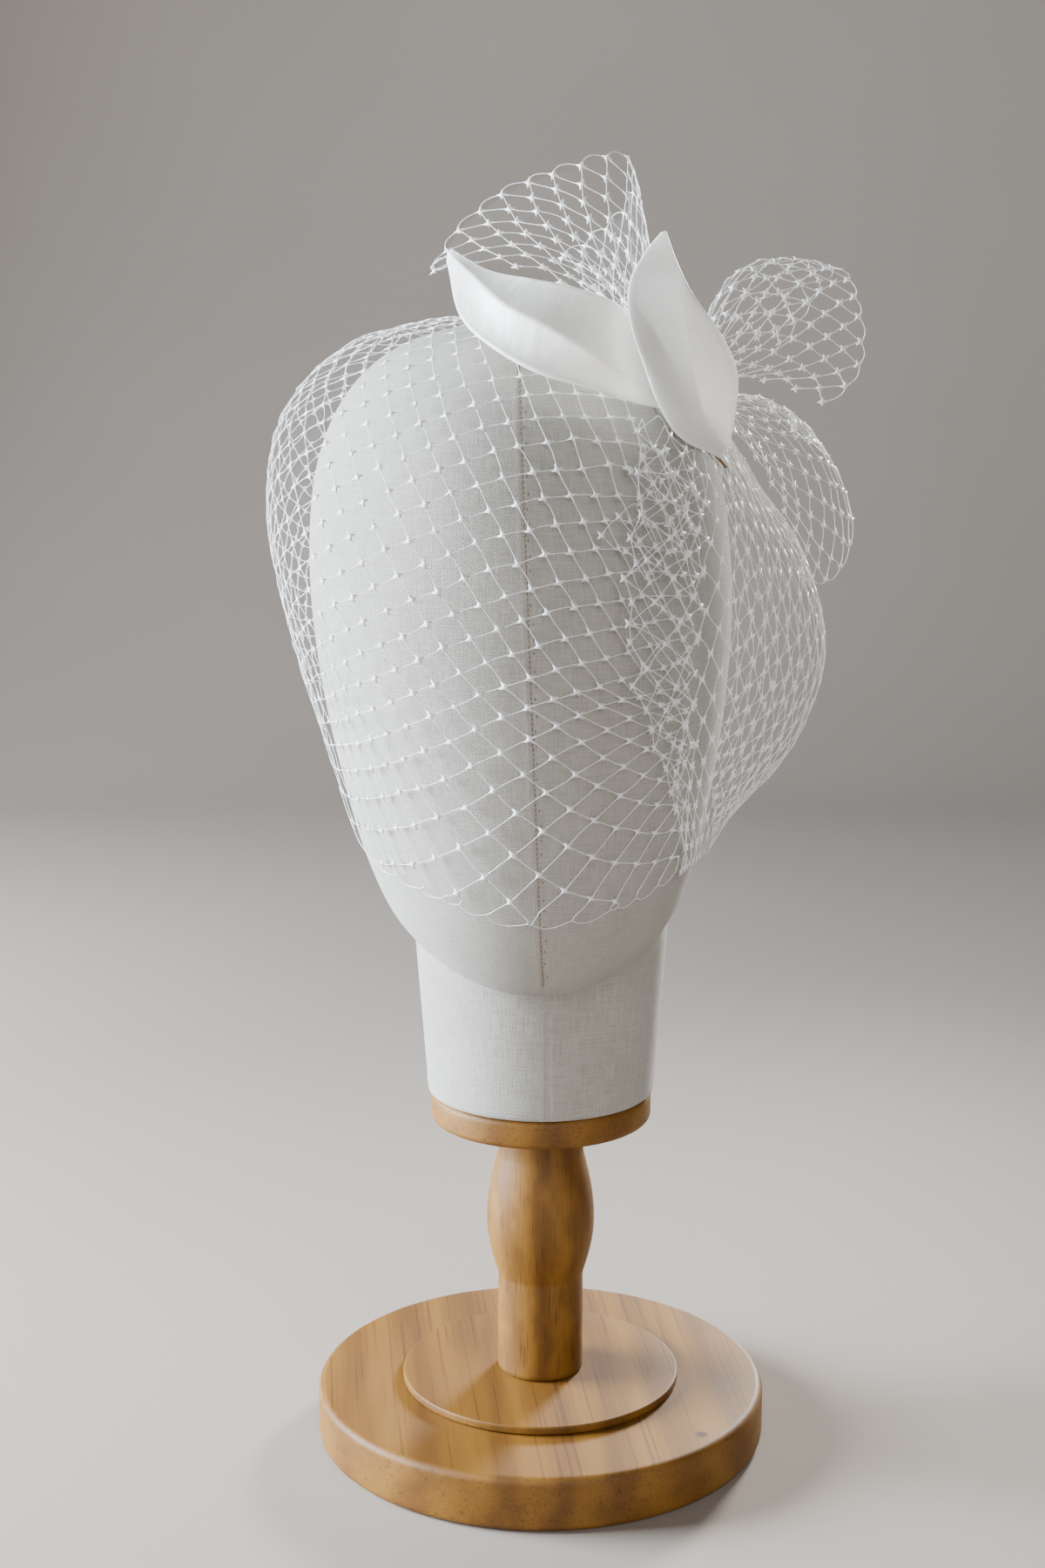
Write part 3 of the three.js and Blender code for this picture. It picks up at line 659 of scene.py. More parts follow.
def buildSeam():
    # Short slanted stitches down the groove, and beside about every third one a near-black dot of painted
    # shade where a needle hole is
    share = np.linspace(-0.5, 0.5, len(seamStitches["taper"]))
    heights = np.arange(seamStitches["bottom"], seamStitches["top"], seamStitches["spacing"])
    heights = heights[:, None] + share * seamStitches["length"]
    arch = seamStitches["arch"] * (1 - (2 * share)**2)
    paths = onHead(share * seamStitches["slant"], heights, seamStitches["lift"] + arch)
    stitches = tubes(paths, seamStitches["radius"] * np.array(seamStitches["taper"]), sides=6)
    makePiece("seam_stitches", *stitches, tanStitch, "linen")
    wander = np.random.default_rng(7)
    heights = np.arange(needleHoleShades["bottom"], needleHoleShades["top"], needleHoleShades["spacing"])
    heights = heights + wander.uniform(*needleHoleShades["heightStray"], len(heights))
    aside = needleHoleShades["aside"] + wander.uniform(*needleHoleShades["asideStray"], len(heights))
    paths = onHead(aside[:, None], heights[:, None] + np.array(needleHoleShades["steps"]), needleHoleShades["lift"])
    holeShades = tubes(paths, needleHoleShades["radius"] * np.array(needleHoleShades["taper"]), sides=6)
    makePiece("needle_hole_shades", *holeShades, needleHoleShade, "linen")


buildHead()
buildNeck()
buildSeam()
print("head covered")


# Net surfaces

# Each row is one line of net from the gathers, its root, to the free edge, its rim: where both lie
# round the head, how far the line sways, and its height off the head at even steps down
veilColumns = "rimTurn rimRise rootTurn rootRise sway root crown upper middle lower rim"
heightNames = ("root", "crown", "upper", "middle", "lower", "rim")
faceRows = table(veilColumns, [
    [-42, -48, -52, 32, 8, 3.4, 3, 2.5, 2.5, 2, 2],
    [-30, -48.5, -49, 32.5, 5, 3.4, 2.5, 2, 2, 2, 2],
    [-16, -49, -46, 34, 2, 3.4, 2.5, 2, 2, 2, 2],
    [0, -49.5, -42, 36, 0, 3.4, 2.5, 2, 2, 2, 2],
    [17, -48.5, -38, 39, 0, 3.4, 2.5, 2, 2, 2, 2],
    [34, -49, -36, 43, 0, 3.4, 2.5, 2, 2, 2, 2],
    [50, -50, -37, 46.5, 0, 3.4, 2.2, 2, 2, 2, 2],
    [66, -46, -41, 49, 0, 3.4, 2, 2.5, 6, 3, 2],
    [84, -34, -50, 51, 0, 3.4, 1.8, 4.5, 13, 6.5, 3],
    [104, -20, -64, 53, 0, 3.4, 1.8, 5, 17.5, 12.5, 5],
    [126, -8, -82, 54.5, 0, 3.4, 1.8, 3.5, 15, 15, 7],
    [148, 4, -102, 54, 0, 3.4, 1.8, 2, 9, 11, 6],
])
foldRows = table(veilColumns, [
    [-42, -48, -52, 32, 8, 5.2, 5, 4.6, 4.6, 3.8, 3.8],
    [-43.5, -48, -43, 38, 12, 5.8, 5.8, 6, 5, 3.8, 3.6],
    [-45, -48, -28, 41, 17, 5.8, 7.6, 7, 5.4, 3.8, 3.6],
])
sideRows = table(veilColumns, [
    [-45, -48, -28, 41, 17, 8.2, 9.4, 8.8, 7.2, 5.2, 3.6],
    [-52, -48.5, -40, 40, 12, 7.4, 10.5, 12, 11, 7, 4],
    [-62, -49, -52, 40.5, 6, 6, 11, 15.5, 16.5, 12.5, 5],
    [-74, -50, -63, 42, 2, 5, 11.5, 20, 23.5, 19, 6],
    [-88, -50, -73, 44, 0, 4, 11.5, 25, 33, 27, 8],
    [-104, -46, -84, 45.5, 0, 3.6, 11.5, 26.5, 35.5, 30.5, 13],
    [-126, -37, -97, 46, 0, 3.4, 9, 20, 27, 26, 18],
    [-150, -28, -110, 46, 0, 3.4, 6, 11.5, 15, 14.5, 10],
])
# The veil is one strip: the face from its far end to the pleat, the fold back, then the side. The
# last number is how many waves it is gathered into
stripParts = (("veil_face", faceRows, 9), ("veil_fold", foldRows, 0), ("veil_side", sideRows, 5))
gathersLook = {"height": 1.6, "end": 0.45, "clear": 0.34, "full": 0.46}


def gathers(count, down, across):
    # Waves across the net at its root that die out on the way down
    fade = np.clip(1 - down / gathersLook["end"], 0, 1)**2
    fade = fade * smoothStep(across, gathersLook["clear"], gathersLook["full"])
    return gathersLook["height"] * fade * (1 - np.cos(2 * np.pi * count * across)) / 2


def veilPoint(rows, count, down, across, lift):
    # Along a great circle from root to rim, swayed about the upright axis, at the head's reach
    # plus the height off it
    row = readTable(rows, across)
    start, end = (directionOf(row[stem + "Turn"], row[stem + "Rise"]) for stem in ("root", "rim"))
    x, y, z = np.moveaxis(betweenDirections(start, end, down), -1, 0)
    sway = -np.radians(row["sway"] * np.sin(np.pi * np.clip(down, 0, 1)))
    way = vectors(x * np.cos(sway) - y * np.sin(sway), x * np.sin(sway) + y * np.cos(sway), z)
    height = curveThrough(np.stack([row[name] for name in heightNames]), down)
    return headPoint(way, height + lift + gathers(count, down, across))


def stripPoint(along, down, lift=0.5):
    # Each third of the strip's length reads its own table; the face's runs backwards
    place = np.clip(along, 0, 3)
    part = np.minimum(place.astype(int), 2)
    points = np.zeros(np.shape(along) + (3,))
    for number, (_, rows, count) in enumerate(stripParts):
        across = np.clip(place - number, 0, 1)
        across = 1 - across if number == 0 else across
        here = part == number
        if here.any():
            points[here] = veilPoint(rows, count, np.asarray(down)[here], across[here], lift)
    return points


poufColumns = "rimX rimY rimZ rootTurn rootRise lift bowX bowY bowZ"
topPoufRows = table(poufColumns, [
    [-38.5, -2, 441, -62, 62, 5.8, -5, -2, 5],
    [-28.5, 8, 457, -67, 62, 5.8, -4, 0, 5],
    [-10, 7, 470, -72, 62, 5.8, -2, -1, 3],
    [9, 2, 476, -78, 62.5, 5.8, 0, -3, 2],
    [25, 5, 481, -84, 63, 5.8, 1, -3, 1],
    [33, 16, 479, -90, 64, 5.8, 0, 0, 0],
    [32, 29, 466, -95, 65, 5.8, -2, 4, 0],
    [22, 38, 456, -99, 66.5, 5.8, -3, 4, 0],
    [8, 40, 448, -102, 68, 5.8, -4, 3, 0],
])
rightPoufRows = table(poufColumns, [
    [87, 14, 416, -82, 49.5, 3, -2, -6, 8],
    [97, 18, 430, -86, 51, 3, -6, -8, 14],
    [105, 26, 441.5, -90.5, 52, 3, -8, -6, 18],
    [112, 37, 444, -95, 52, 3, -6, 0, 16],
    [119, 48, 435, -99.5, 51.5, 3, 0, 4, 10],
    [123, 56, 419, -103.5, 50.5, 3, 3, 5, 4],
    [121, 61, 404, -107, 50, 3, 2, 4, 0],
    [110, 64, 395, -110, 49.5, 3, 0, 2, 1],
])
backPoufRows = table(poufColumns, [
    [99, 62, 384, -112, 45.5, 7, 0, 0, 3],
    [112, 70, 376, -109.5, 45, 7, 2, 2, 4],
    [121, 76, 362, -106.5, 44.5, 7, 4, 4, 3],
    [125.5, 79, 347, -103.5, 44.5, 7, 5, 4, 0],
    [122, 77, 332, -100.5, 44.5, 7, 4, 4, -2],
    [112, 69, 324, -97.5, 44.5, 7, 2, 4, -4],
    [102, 58, 330, -94.5, 45, 7, 0, 3, -4],
])


def poufPoint(rows, across, down):
    # Along a great circle from root to rim while the height off the head grows evenly, and bowed
    # aside by half a sine wave
    row = readTable(rows, across)
    rim = pointOf(row, "rim")
    way = betweenDirections(directionOf(row["rootTurn"], row["rootRise"]), unit(rim - headCentre), down)
    lift = row["lift"] + (heightOffHead(rim) - row["lift"]) * down
    return headPoint(way, lift) + pointOf(row, "bow") * np.sin(np.pi * np.clip(down, 0, 1.2))[..., None]


# Net threads

net = {
    "side": 9.2,              # of one diamond, from knot to knot
    # Spacing of the free edge's knots and the level that it is measured at, along the strip
    "sidePitch": ([1, 1.9, 2.15, 3], [7.8, 7.8, 8.6, 8.6]), "sideLevel": ([1, 2, 3], [0.6, 0.6, 0.62]),
    "poufPitch": ([0, 1], [9.0, 9.0]), "poufLevel": ([0, 1], [0.9, 0.9]),
    "threadRadius": 0.125, "threadEndRadius": 0.23, "threadSpans": 3, "slack": 0.22,
    "knotReach": 2.3, "knotWaist": 0.92, "knotHeight": 0.24,
    "rootEnd": 0.03, "rimEnd": 0.998, "partEnd": 0.999,       # the last two just short of the edge
    "flattest": 0.5, "crowded": 2.6,
    "scallop": 2.6, "scallopPitch": 9.0, "scallopRange": (0.3, 1.2), "loopThickness": 1.1,
    "unrest": 0.26, "crumple": 0.8, "crumpleStart": 0.3,
    "nearEdge": 0.97, "downStep": 0.01, "placeStep": 0.004,      # where slopes are measured
    "mostRows": 70, "placeSamples": 1500, "groundSteps": 41,
}
spanShares = np.linspace(0, 1, net["threadSpans"] + 1)


def unrestAt(down):
    # How far the knots stray, more where the net is crumpled into its gathers
    return net["unrest"] + net["crumple"] * np.clip(1 - down / net["crumpleStart"], 0, 1)


def strayed(points, spread, wander):
    # Knots moved by chance, but never inwards
    outwards = unit(points - headCentre)
    stray = wander.normal(0, 1, points.shape) * spread
    return points + stray - outwards * np.minimum((stray * outwards).sum(-1), 0)[..., None]


def threadPaths(start, end, slack, wander):
    # Straight from knot to knot, with half a sine wave of slack
    bow = wander.normal(0, slack, (len(start), 1, 3)) * np.sin(np.pi * spanShares)[:, None]
    return start[:, None] + (end - start)[:, None] * spanShares[:, None] + bow


def edgeLoops(knots, outwards, reach, steps, fullness):
    # Arcs from each knot of the free edge to the next, as high as half a sine wave
    bend = np.linspace(0, 1, steps)
    return (knots[:-1, None] + np.diff(knots, axis=0)[:, None] * bend[:, None]
            + outwards[:, None] * (reach[:, None] * np.sin(np.pi * bend)**fullness)[..., None])


def rowStep(pointAt, place, down, half):
    # Way from one half-row to the next: the other leg of the right-angled triangle whose long side
    # is the thread and whose first leg is half the knots' spacing
    step = net["downStep"]
    level = np.clip(down, 2 * step, 1)
    slope = lengthOf(pointAt(place, level - step) - pointAt(place, level)) / step
    leg = np.sqrt(np.maximum(net["side"]**2 - half**2, (net["flattest"] * net["side"])**2))
    return leg / np.maximum(slope, 1)


def netLattice(pointAt, places):
    # Rows of knots from the free edge up. Each knot hangs between two of the row below; where the
    # knots crowd together every second one is tucked away, so that the diamonds stay open
    place, down = places, np.ones(len(places))
    knotPlaces, knotDowns, links = [place], [down], []
    first, withEnds = 0, True
    ends = [0, -1]
    for _ in range(net["mostRows"]):
        count = len(place)
        left, right = np.arange(count - 1), np.arange(1, count)
        if not withEnds:
            left, right = np.r_[0, left, count - 1], np.r_[0, right, count - 1]
        newPlace = (place[left] + place[right]) / 2
        points = pointAt(place, np.clip(down, 0, 1))
        half = lengthOf(points[right] - points[left]) / 2
        if not withEnds:
            newPlace[ends], half[ends] = places[ends], half[[1, -2]]
        middle = (down[left] + down[right]) / 2
        newDown = np.pad(middle - rowStep(pointAt, newPlace, middle, half), 1, mode="edge")
        newDown = np.convolve(newDown, [0.25, 0.5, 0.25], mode="valid")
        newPoints = pointAt(newPlace, np.clip(newDown, 0, 1))
        gap = lengthOf(np.diff(newPoints, axis=0, prepend=newPoints[:1]))
        keep = ~((gap < net["crowded"]) & (np.arange(len(newPlace)) % 2 == 1))
        keep[-1] = True
        following = first + count
        number = following + np.cumsum(keep) - 1
        alive = keep & (middle > net["rootEnd"])
        links += [np.stack([first + left, number], -1)[alive],
                  np.stack([first + right, number], -1)[alive & (left != right)]]
        place, down, first, withEnds = newPlace[keep], newDown[keep], following, not withEnds
        knotPlaces.append(place)
        knotDowns.append(down)
        if (down < net["rootEnd"]).all():
            break
    return np.concatenate(knotPlaces), np.concatenate(knotDowns), np.concatenate(links)


def netPieces(pointAt, places, seed, part=1):
    # Threads, knots and edge loops of one part of the strip, the fold being 1 and the side 2. In a
    # loop of net everything is part 1
    owned = lambda place: np.clip(place.astype(int), 1, 2) == part
    place, down, links = netLattice(pointAt, places)
    wander = np.random.default_rng(seed)
    shown = np.clip(down, net["rootEnd"] * 0.6, 1)
    spot = pointAt(place, shown)
    knots = strayed(spot, unrestAt(shown)[:, None], wander)
    before, after = (pointAt(np.clip(place + step, places[0], places[-1]), shown)
                     for step in (-net["placeStep"], net["placeStep"]))
    along, upward = unit(after - before), unit(pointAt(place, shown - net["downStep"]) - spot)
    threads = threadPaths(knots[links[:, 0]], knots[links[:, 1]], net["slack"], wander)
    middle = (places[:-1] + places[1:]) / 2
    rim, inner = (pointAt(middle, np.full(len(middle), level)) for level in (1.0, net["nearEdge"]))
    edge = knots[:len(places)]
    wide = lengthOf(np.diff(edge, axis=0)) / net["scallopPitch"]
    loops = edgeLoops(edge, unit(rim - inner), net["scallop"] * np.clip(wide, *net["scallopRange"]),
                      steps=9, fullness=0.8)
    visible = (down > net["rootEnd"]) & owned(place)
    return {"threads": threads[owned((place[links[:, 0]] + place[links[:, 1]]) / 2)],
            "knots": knots[visible], "first": unit(along + upward)[visible],
            "second": unit(upward - along)[visible],
            "loops": loops[owned(middle)]}


def knotShapes(centres, first, second):
    # Flat four-pointed star: tips along the two threads, waists between them, a dome on both faces
    normal = unit(np.cross(first, second)) * net["knotHeight"]
    tips = [first, unit(first + second), second, unit(second - first)]
    reach = [net["knotReach"], net["knotWaist"]] * 4
    ring = [centres + tip * far for tip, far in zip(tips + [-tip for tip in tips], reach)]
    points = np.stack(ring + [centres + normal, centres - normal], 1)
    edge = np.arange(8)
    following = (edge + 1) % 8
    one = np.concatenate([np.stack([edge, following, np.full(8, 8)], -1),
                          np.stack([following, edge, np.full(8, 9)], -1)])
    faces = (one[None] + (np.arange(len(centres)) * 10)[:, None, None]).reshape(-1, 3)
    return points.reshape(-1, 3), faces


def buildNet(name, layers, node):
    # One mesh of the threads, knots and loops of the layers of one part
    thin, thick = net["threadRadius"], net["threadEndRadius"]
    radius = thin + (thick - thin) * np.abs(2 * spanShares - 1)**3
    pointSets, quadSets, knotSets, total = [], [], [], 0
    for layer in layers:
        for shapes, sets in ((tubes(layer["threads"], radius), quadSets),
                             (tubes(layer["loops"], thin * net["loopThickness"]), quadSets),
                             (knotShapes(layer["knots"], layer["first"], layer["second"]), knotSets)):
            pointSets.append(shapes[0])
            sets.append(shapes[1] + total)
            total += len(shapes[0])
    return makePiece(name, np.concatenate(pointSets), np.concatenate(quadSets), thread, "net", (node,),
                     triangles=np.concatenate(knotSets))


def evenPlaces(pointAt, level, pitch):
    # Places of the free edge's knots: the length along the strip, counted in local pitches, cut evenly
    fine = np.linspace(level[0][0], level[0][-1], net["placeSamples"])
    line, spacing = pointAt(fine, np.interp(fine, *level)), np.interp(fine, *pitch)
    steps = lengthOf(np.diff(line, axis=0)) / ((spacing[1:] + spacing[:-1]) / 2)
    counted = np.concatenate([[0], np.cumsum(steps)])
    return np.interp(np.linspace(0, counted[-1], int(round(counted[-1])) + 1), counted, fine)


# The face is laid straight, like a flat piece of net smoothed over the head. On its plan a point's
# distance from the middle is an arc on the head; the two families of threads cross at fixed angles
facePlan = {
    "turn": 28.0, "rise": -5.0,          # the plan's middle, as a direction like those of the net
    "radius": 97.0, "reach": 235.0, "overrun": 1.3,
    "threadRise": 23.0, "threadFall": 56.0,
    "squeeze": 0.36, "stretch": 0.14, "squeezeStart": (10.0, 95.0), "squeezeBelow": -8.0,
    "stretchFull": 30.0, "swing": 0.0031, "swingStart": 22.0, "swingWidth": 110.0,
    "rootEnd": 0.06, "sampleColumns": 181, "sampleRows": 91, "cutSteps": 12,
    "edgeStart": 0.94, "edgeScallop": 0.2, "slopeStep": 0.25, "batch": 400,
}
crumpledPlan = {
    "threadRise": 52.0, "threadFall": 31.0, "shift": (4.0, 2.5), "lift": 1.8, "stray": 1.0, "slack": 0.55,
    "lowest": 0.34, "firstPlace": 0.56, "lastPlace": 0.88, "waveHeight": 0.05, "waves": 40, "trims": 3,
}
neighbours = ((np.s_[:-1], np.s_[1:]), (np.s_[:, :-1], np.s_[:, 1:]))     # along one thread, and the other


def wayOnPlan(plan):
    # Direction from the head's centre: turned away from the middle by the arc, towards the plan's point
    centre, sideways, upward = axesAt(facePlan["turn"], facePlan["rise"])
    distance = np.maximum(np.linalg.norm(plan, axis=-1, keepdims=True), 1e-6)
    arc = distance / facePlan["radius"]
    tangent = (plan[..., :1] * sideways + plan[..., 1:] * upward) / distance
    return centre * np.cos(arc) + tangent * np.sin(arc)


samplePlaces, sampleDowns = np.meshgrid(np.linspace(0, net["partEnd"], facePlan["sampleColumns"]),
                                        np.linspace(facePlan["rootEnd"], 1, facePlan["sampleRows"]))
samplePoints = stripPoint(samplePlaces, sampleDowns)
sampleWays = unit(samplePoints - headCentre).reshape(-1, 3)
sampleHeights = heightOffHead(samplePoints).ravel()


def onFace(plan):
    # The nearest sample of the face gives a point's place, level and height; the outermost samples
    # stand for everything past the edge
    ways = wayOnPlan(plan.reshape(-1, 2))
    parts = np.array_split(ways, 1 + len(ways) // facePlan["batch"])
    nearest = np.concatenate([(part @ sampleWays.T).argmax(1) for part in parts])
    row, column = np.divmod(nearest, facePlan["sampleColumns"])
    inside = (row > 0) & (row < facePlan["sampleRows"] - 1)
    inside &= (column > 0) & (column < facePlan["sampleColumns"] - 1)
    shape = plan.shape[:-1]
    return (headPoint(ways, sampleHeights[nearest]).reshape(shape + (3,)),
            samplePlaces.ravel()[nearest].reshape(shape), sampleDowns.ravel()[nearest].reshape(shape),
            inside.reshape(shape))


def planLattice(threadRise, threadFall, shift=(0, 0)):
    # Knots of a straight net on the plan: whole steps along one thread and along the other. Towards
    # the leaf side the rows swing down, and low there they are drawn together
    rise, fall = math.radians(threadRise), math.radians(threadFall)
    one = net["side"] * np.array([math.cos(rise), math.sin(rise)])
    two = net["side"] * np.array([math.cos(fall), -math.sin(fall)])
    count = int(facePlan["reach"] / net["side"] * facePlan["overrun"])
    m, n = np.meshgrid(np.arange(-count, count + 1), np.arange(-count, count + 1), indexing="ij")
    plan = np.asarray(shift) + m[..., None] * one + n[..., None] * two
    low = np.minimum(plan[..., 1] - facePlan["squeezeBelow"], 0)
    plan[..., 1] -= low * facePlan["squeeze"] * smoothStep(plan[..., 0], *facePlan["squeezeStart"])
    aside = np.clip(plan[..., 0] - facePlan["swingStart"], 0, facePlan["swingWidth"])
    plan[..., 1] -= facePlan["swing"] * aside**2
    past = np.maximum(plan[..., 0] - facePlan["squeezeStart"][0], 0)
    plan[..., 0] += past * facePlan["stretch"] * smoothStep(-low, 0, facePlan["stretchFull"])
    return plan, one, two


def facePieces(seed):
    # Threads join neighbouring knots; one that leaves the face is cut where it crosses the edge, and
    # along the free edge the cut ends are joined by shallow loops
    wander = np.random.default_rng(seed)
    plan, one, two = planLattice(facePlan["threadRise"], facePlan["threadFall"])
    points, _, downs, inside = onFace(plan)
    inside &= lengthOf(plan) < facePlan["reach"]
    knots = strayed(points, unrestAt(downs)[..., None], wander)
    starts, ends, cuts = [], [], []
    for (low, high), step in zip(neighbours, (one, two)):
        both = inside[low] & inside[high]
        starts.append(knots[low][both])
        ends.append(knots[high][both])
        for here, there, way in ((low, high, step), (high, low, -step)):
            leaving = inside[here] & ~inside[there]
            cuts.append(np.concatenate([plan[here][leaving], np.tile(way, (leaving.sum(), 1)),
                                        knots[here][leaving]], -1))
    cuts = np.concatenate(cuts)
    tries = np.linspace(0, 1, facePlan["cutSteps"] + 1)[1:, None]
    tryPoints, tryPlaces, tryDowns, tryInside = onFace(cuts[:, None, :2] + cuts[:, None, 2:4] * tries)
    whole = np.cumprod(tryInside, axis=1).sum(1)
    last = (np.arange(len(cuts)), np.maximum(whole - 1, 0))
    reached, cutEnds = whole > 0, tryPoints[last]
    atEdge = np.flatnonzero(reached & (tryDowns[last] > facePlan["edgeStart"]))
    atEdge = atEdge[np.argsort(tryPlaces[last][atEdge])]
    edgePlaces = tryPlaces[last][atEdge]
    edge = stripPoint(edgePlaces, np.ones(len(edgePlaces)))
    below = unit(edge - stripPoint(edgePlaces, np.full(len(edgePlaces), net["nearEdge"])))[:-1]
    first, second = (unit(onFace(plan[inside] + step)[0] - onFace(plan[inside] - step)[0])
                     for step in (one * facePlan["slopeStep"], two * facePlan["slopeStep"]))
    reach = facePlan["edgeScallop"] * lengthOf(np.diff(edge, axis=0))
    return {"threads": threadPaths(np.concatenate(starts + [cuts[reached, 4:], cutEnds[atEdge]]),
                                   np.concatenate(ends + [cutEnds[reached], edge]), net["slack"], wander),
            "knots": knots[inside], "first": first, "second": second,
            "loops": edgeLoops(edge, below, reach, steps=7, fullness=1)}


def crumpledPieces(seed):
    # A second layer of whole diamonds where the net doubles over itself below the leaves
    wander = np.random.default_rng(seed)
    plan = planLattice(crumpledPlan["threadRise"], crumpledPlan["threadFall"], crumpledPlan["shift"])[0]
    points, places, downs, inside = onFace(plan)
    wave = crumpledPlan["waveHeight"] * np.sin(places * crumpledPlan["waves"])
    inside &= downs < crumpledPlan["lowest"] + wave
    inside &= (places > crumpledPlan["firstPlace"]) & (places < crumpledPlan["lastPlace"])
    for _ in range(crumpledPlan["trims"]):
        # Knots that hold fewer than two threads are left out
        padded = np.pad(inside, 1).astype(int)
        inside &= padded[:-2, 1:-1] + padded[2:, 1:-1] + padded[1:-1, :-2] + padded[1:-1, 2:] >= 2
    lifted = points + unit(points - headCentre) * crumpledPlan["lift"]
    knots = strayed(lifted, crumpledPlan["stray"], wander)
    start, end = (np.concatenate([knots[pair[k]][inside[pair[0]] & inside[pair[1]]] for pair in neighbours])
                  for k in (0, 1))
    first, second = (unit(np.gradient(knots, axis=axis))[inside] for axis in (0, 1))
    return {"threads": threadPaths(start, end, crumpledPlan["slack"], wander), "knots": knots[inside],
            "first": first, "second": second, "loops": np.zeros((0, 7, 3))}


def buildCloth(node, pointAt, layers, start=0, span=1.0):
    # The threads of one stretch of net, and its almost clear ground over the same stretch
    threads = buildNet(node + "_threads", layers, node)
    steps = np.linspace(0, 1, net["groundSteps"])
    downs = net["rootEnd"] + steps * (net["rimEnd"] - net["rootEnd"])
    points = pointAt(*np.meshgrid(start + steps * span, downs))
    sheet = makePiece(node + "_ground", points.reshape(-1, 3), gridQuads(*points.shape[:2]), ground, "net")


sidePlaces = evenPlaces(stripPoint, net["sideLevel"], net["sidePitch"])
layersOfParts = ([facePieces(31), crumpledPieces(32)], [netPieces(stripPoint, sidePlaces, 11, 1)],
                 [netPieces(stripPoint, sidePlaces, 11, 2)])
for number, layers in enumerate(layersOfParts):
    buildCloth(stripParts[number][0], stripPoint, layers, number, net["partEnd"])
for node, rows, seed in (("veil_pouf_top", topPoufRows, 21), ("veil_pouf_right", rightPoufRows, 22),
                         ("veil_pouf_back", backPoufRows, 23)):
    pointAt = partial(poufPoint, rows)
    places = evenPlaces(pointAt, net["poufLevel"], net["poufPitch"])
    buildCloth(node, pointAt, [netPieces(pointAt, places, seed)])
print("net knotted")


# Pad, leaves and pin

pad = {"turn": -77.0, "rise": 48.0, "halfLength": 42.0, "halfHeight": 17.0, "thickness": 2.0,
       "edgeThickness": 0.8, "edgeWidth": 0.12, "steps": 33}


def buildPad():
    # A square grid drawn in to an oval and laid on the head, its edge thinned like a pressed hem
    centre, sideways, upward = axesAt(pad["turn"], pad["rise"])
    radius = headRadius(centre[None])[0]
    y, x = np.meshgrid(np.linspace(-1, 1, pad["steps"]), np.linspace(-1, 1, pad["steps"]), indexing="ij")
    ovalX, ovalY = x * np.sqrt(1 - y * y / 2), y * np.sqrt(1 - x * x / 2)
    way = unit(centre + sideways * (ovalX * pad["halfLength"] / radius)[..., None]
               + upward * (ovalY * pad["halfHeight"] / radius)[..., None])
    edge = smoothStep(np.clip(1 - np.hypot(ovalX, ovalY), 0, 1), 0, pad["edgeWidth"])
    thickness = pad["edgeThickness"] + (pad["thickness"] - pad["edgeThickness"]) * edge
    wall = closedWall(headPoint(way, stand["gap"] + thickness), headPoint(way, stand["gap"]))
    uv = np.tile(vectors(ovalX * pad["halfLength"], ovalY * pad["halfHeight"]).reshape(-1, 2), (2, 1))
    makePiece("sewing_pad", *wall, linen, "linen", ("gather_base",), uv)


# From base to tip: the midrib, then the lower or inner edge, then the upper or outer one
leafColumns = "ribX ribY ribZ lowX lowY lowZ highX highY highZ"
leafLeftRows = table(leafColumns, [
    [38.6, -60, 390.6, 38, -61, 388.6, 39, -59.4, 393.2],
    [30.5, -72.5, 400, 28.2, -73, 393.9, 35.5, -63, 411.6],
    [17.1, -79, 409.4, 13.7, -78, 398.6, 26.3, -64, 425.4],
    [1.9, -78, 418.2, -2.7, -78, 403.2, 11.8, -63, 431.6],
    [-12.8, -69, 426, -17.1, -70, 411.5, -3.5, -58, 435],
    [-24.7, -50, 437.4, -28, -57, 423.3, -18.2, -48, 438.3],
    [-32.3, -37, 445, -32.4, -39, 441.4, -30.8, -37, 446],
])
leafRightRows = table(leafColumns, [
    [58.6, -54.1, 375, 57.5, -55.4, 375.6, 59.6, -51.5, 375.8],
    [54.8, -55.5, 382.9, 47.1, -68.6, 380.6, 63.5, -50, 382.2],
    [52.2, -54.5, 395.2, 38.2, -82, 392.2, 65.2, -57, 396.6],
    [49.8, -53, 408.5, 33, -82, 405.1, 63.9, -61, 407],
    [47.7, -49, 421.6, 28.2, -73, 421.1, 58.2, -55, 419.2],
    [45.4, -42, 435, 28.7, -59, 434.4, 50.6, -45, 431.1],
    [42.9, -33, 445.6, 35.3, -38, 445.9, 45.5, -34, 443.2],
    [41.7, -29, 452.8, 40.9, -30, 452.4, 42.6, -29, 452.4],
])
leaves = {
    "thickness": 1.2, "edgeThickness": 0.55, "cup": 1.6, "along": 90, "across": 49,
    "leftClear": 10.2, "rightClear": 12.65, "softness": 2.0,        # how far off the head, and how gently
    "edgeRoll": 0.35, "rollPlace": 0.93, "rollWidth": 0.035, "edgePower": 10,
}


def leafMiddle(rows, clear, along, across):
    # Straight from midrib to edge, cupped back by a sine between them, then kept clear of the net
    row = readTable(rows, along)
    side = across * 2 - 1
    reach = np.abs(side)
    rib = pointOf(row, "rib")
    edge = np.where((side < 0)[..., None], pointOf(row, "low"), pointOf(row, "high"))
    points = rib + (edge - rib) * reach[..., None]
    points[..., 1] += leaves["cup"] * np.sin(np.pi * reach) * np.sin(np.pi * along)
    height = heightOffHead(points)
    kept = (height + clear + np.sqrt((height - clear)**2 + leaves["softness"]**2)) / 2
    return headPoint(unit(points - headCentre), kept)


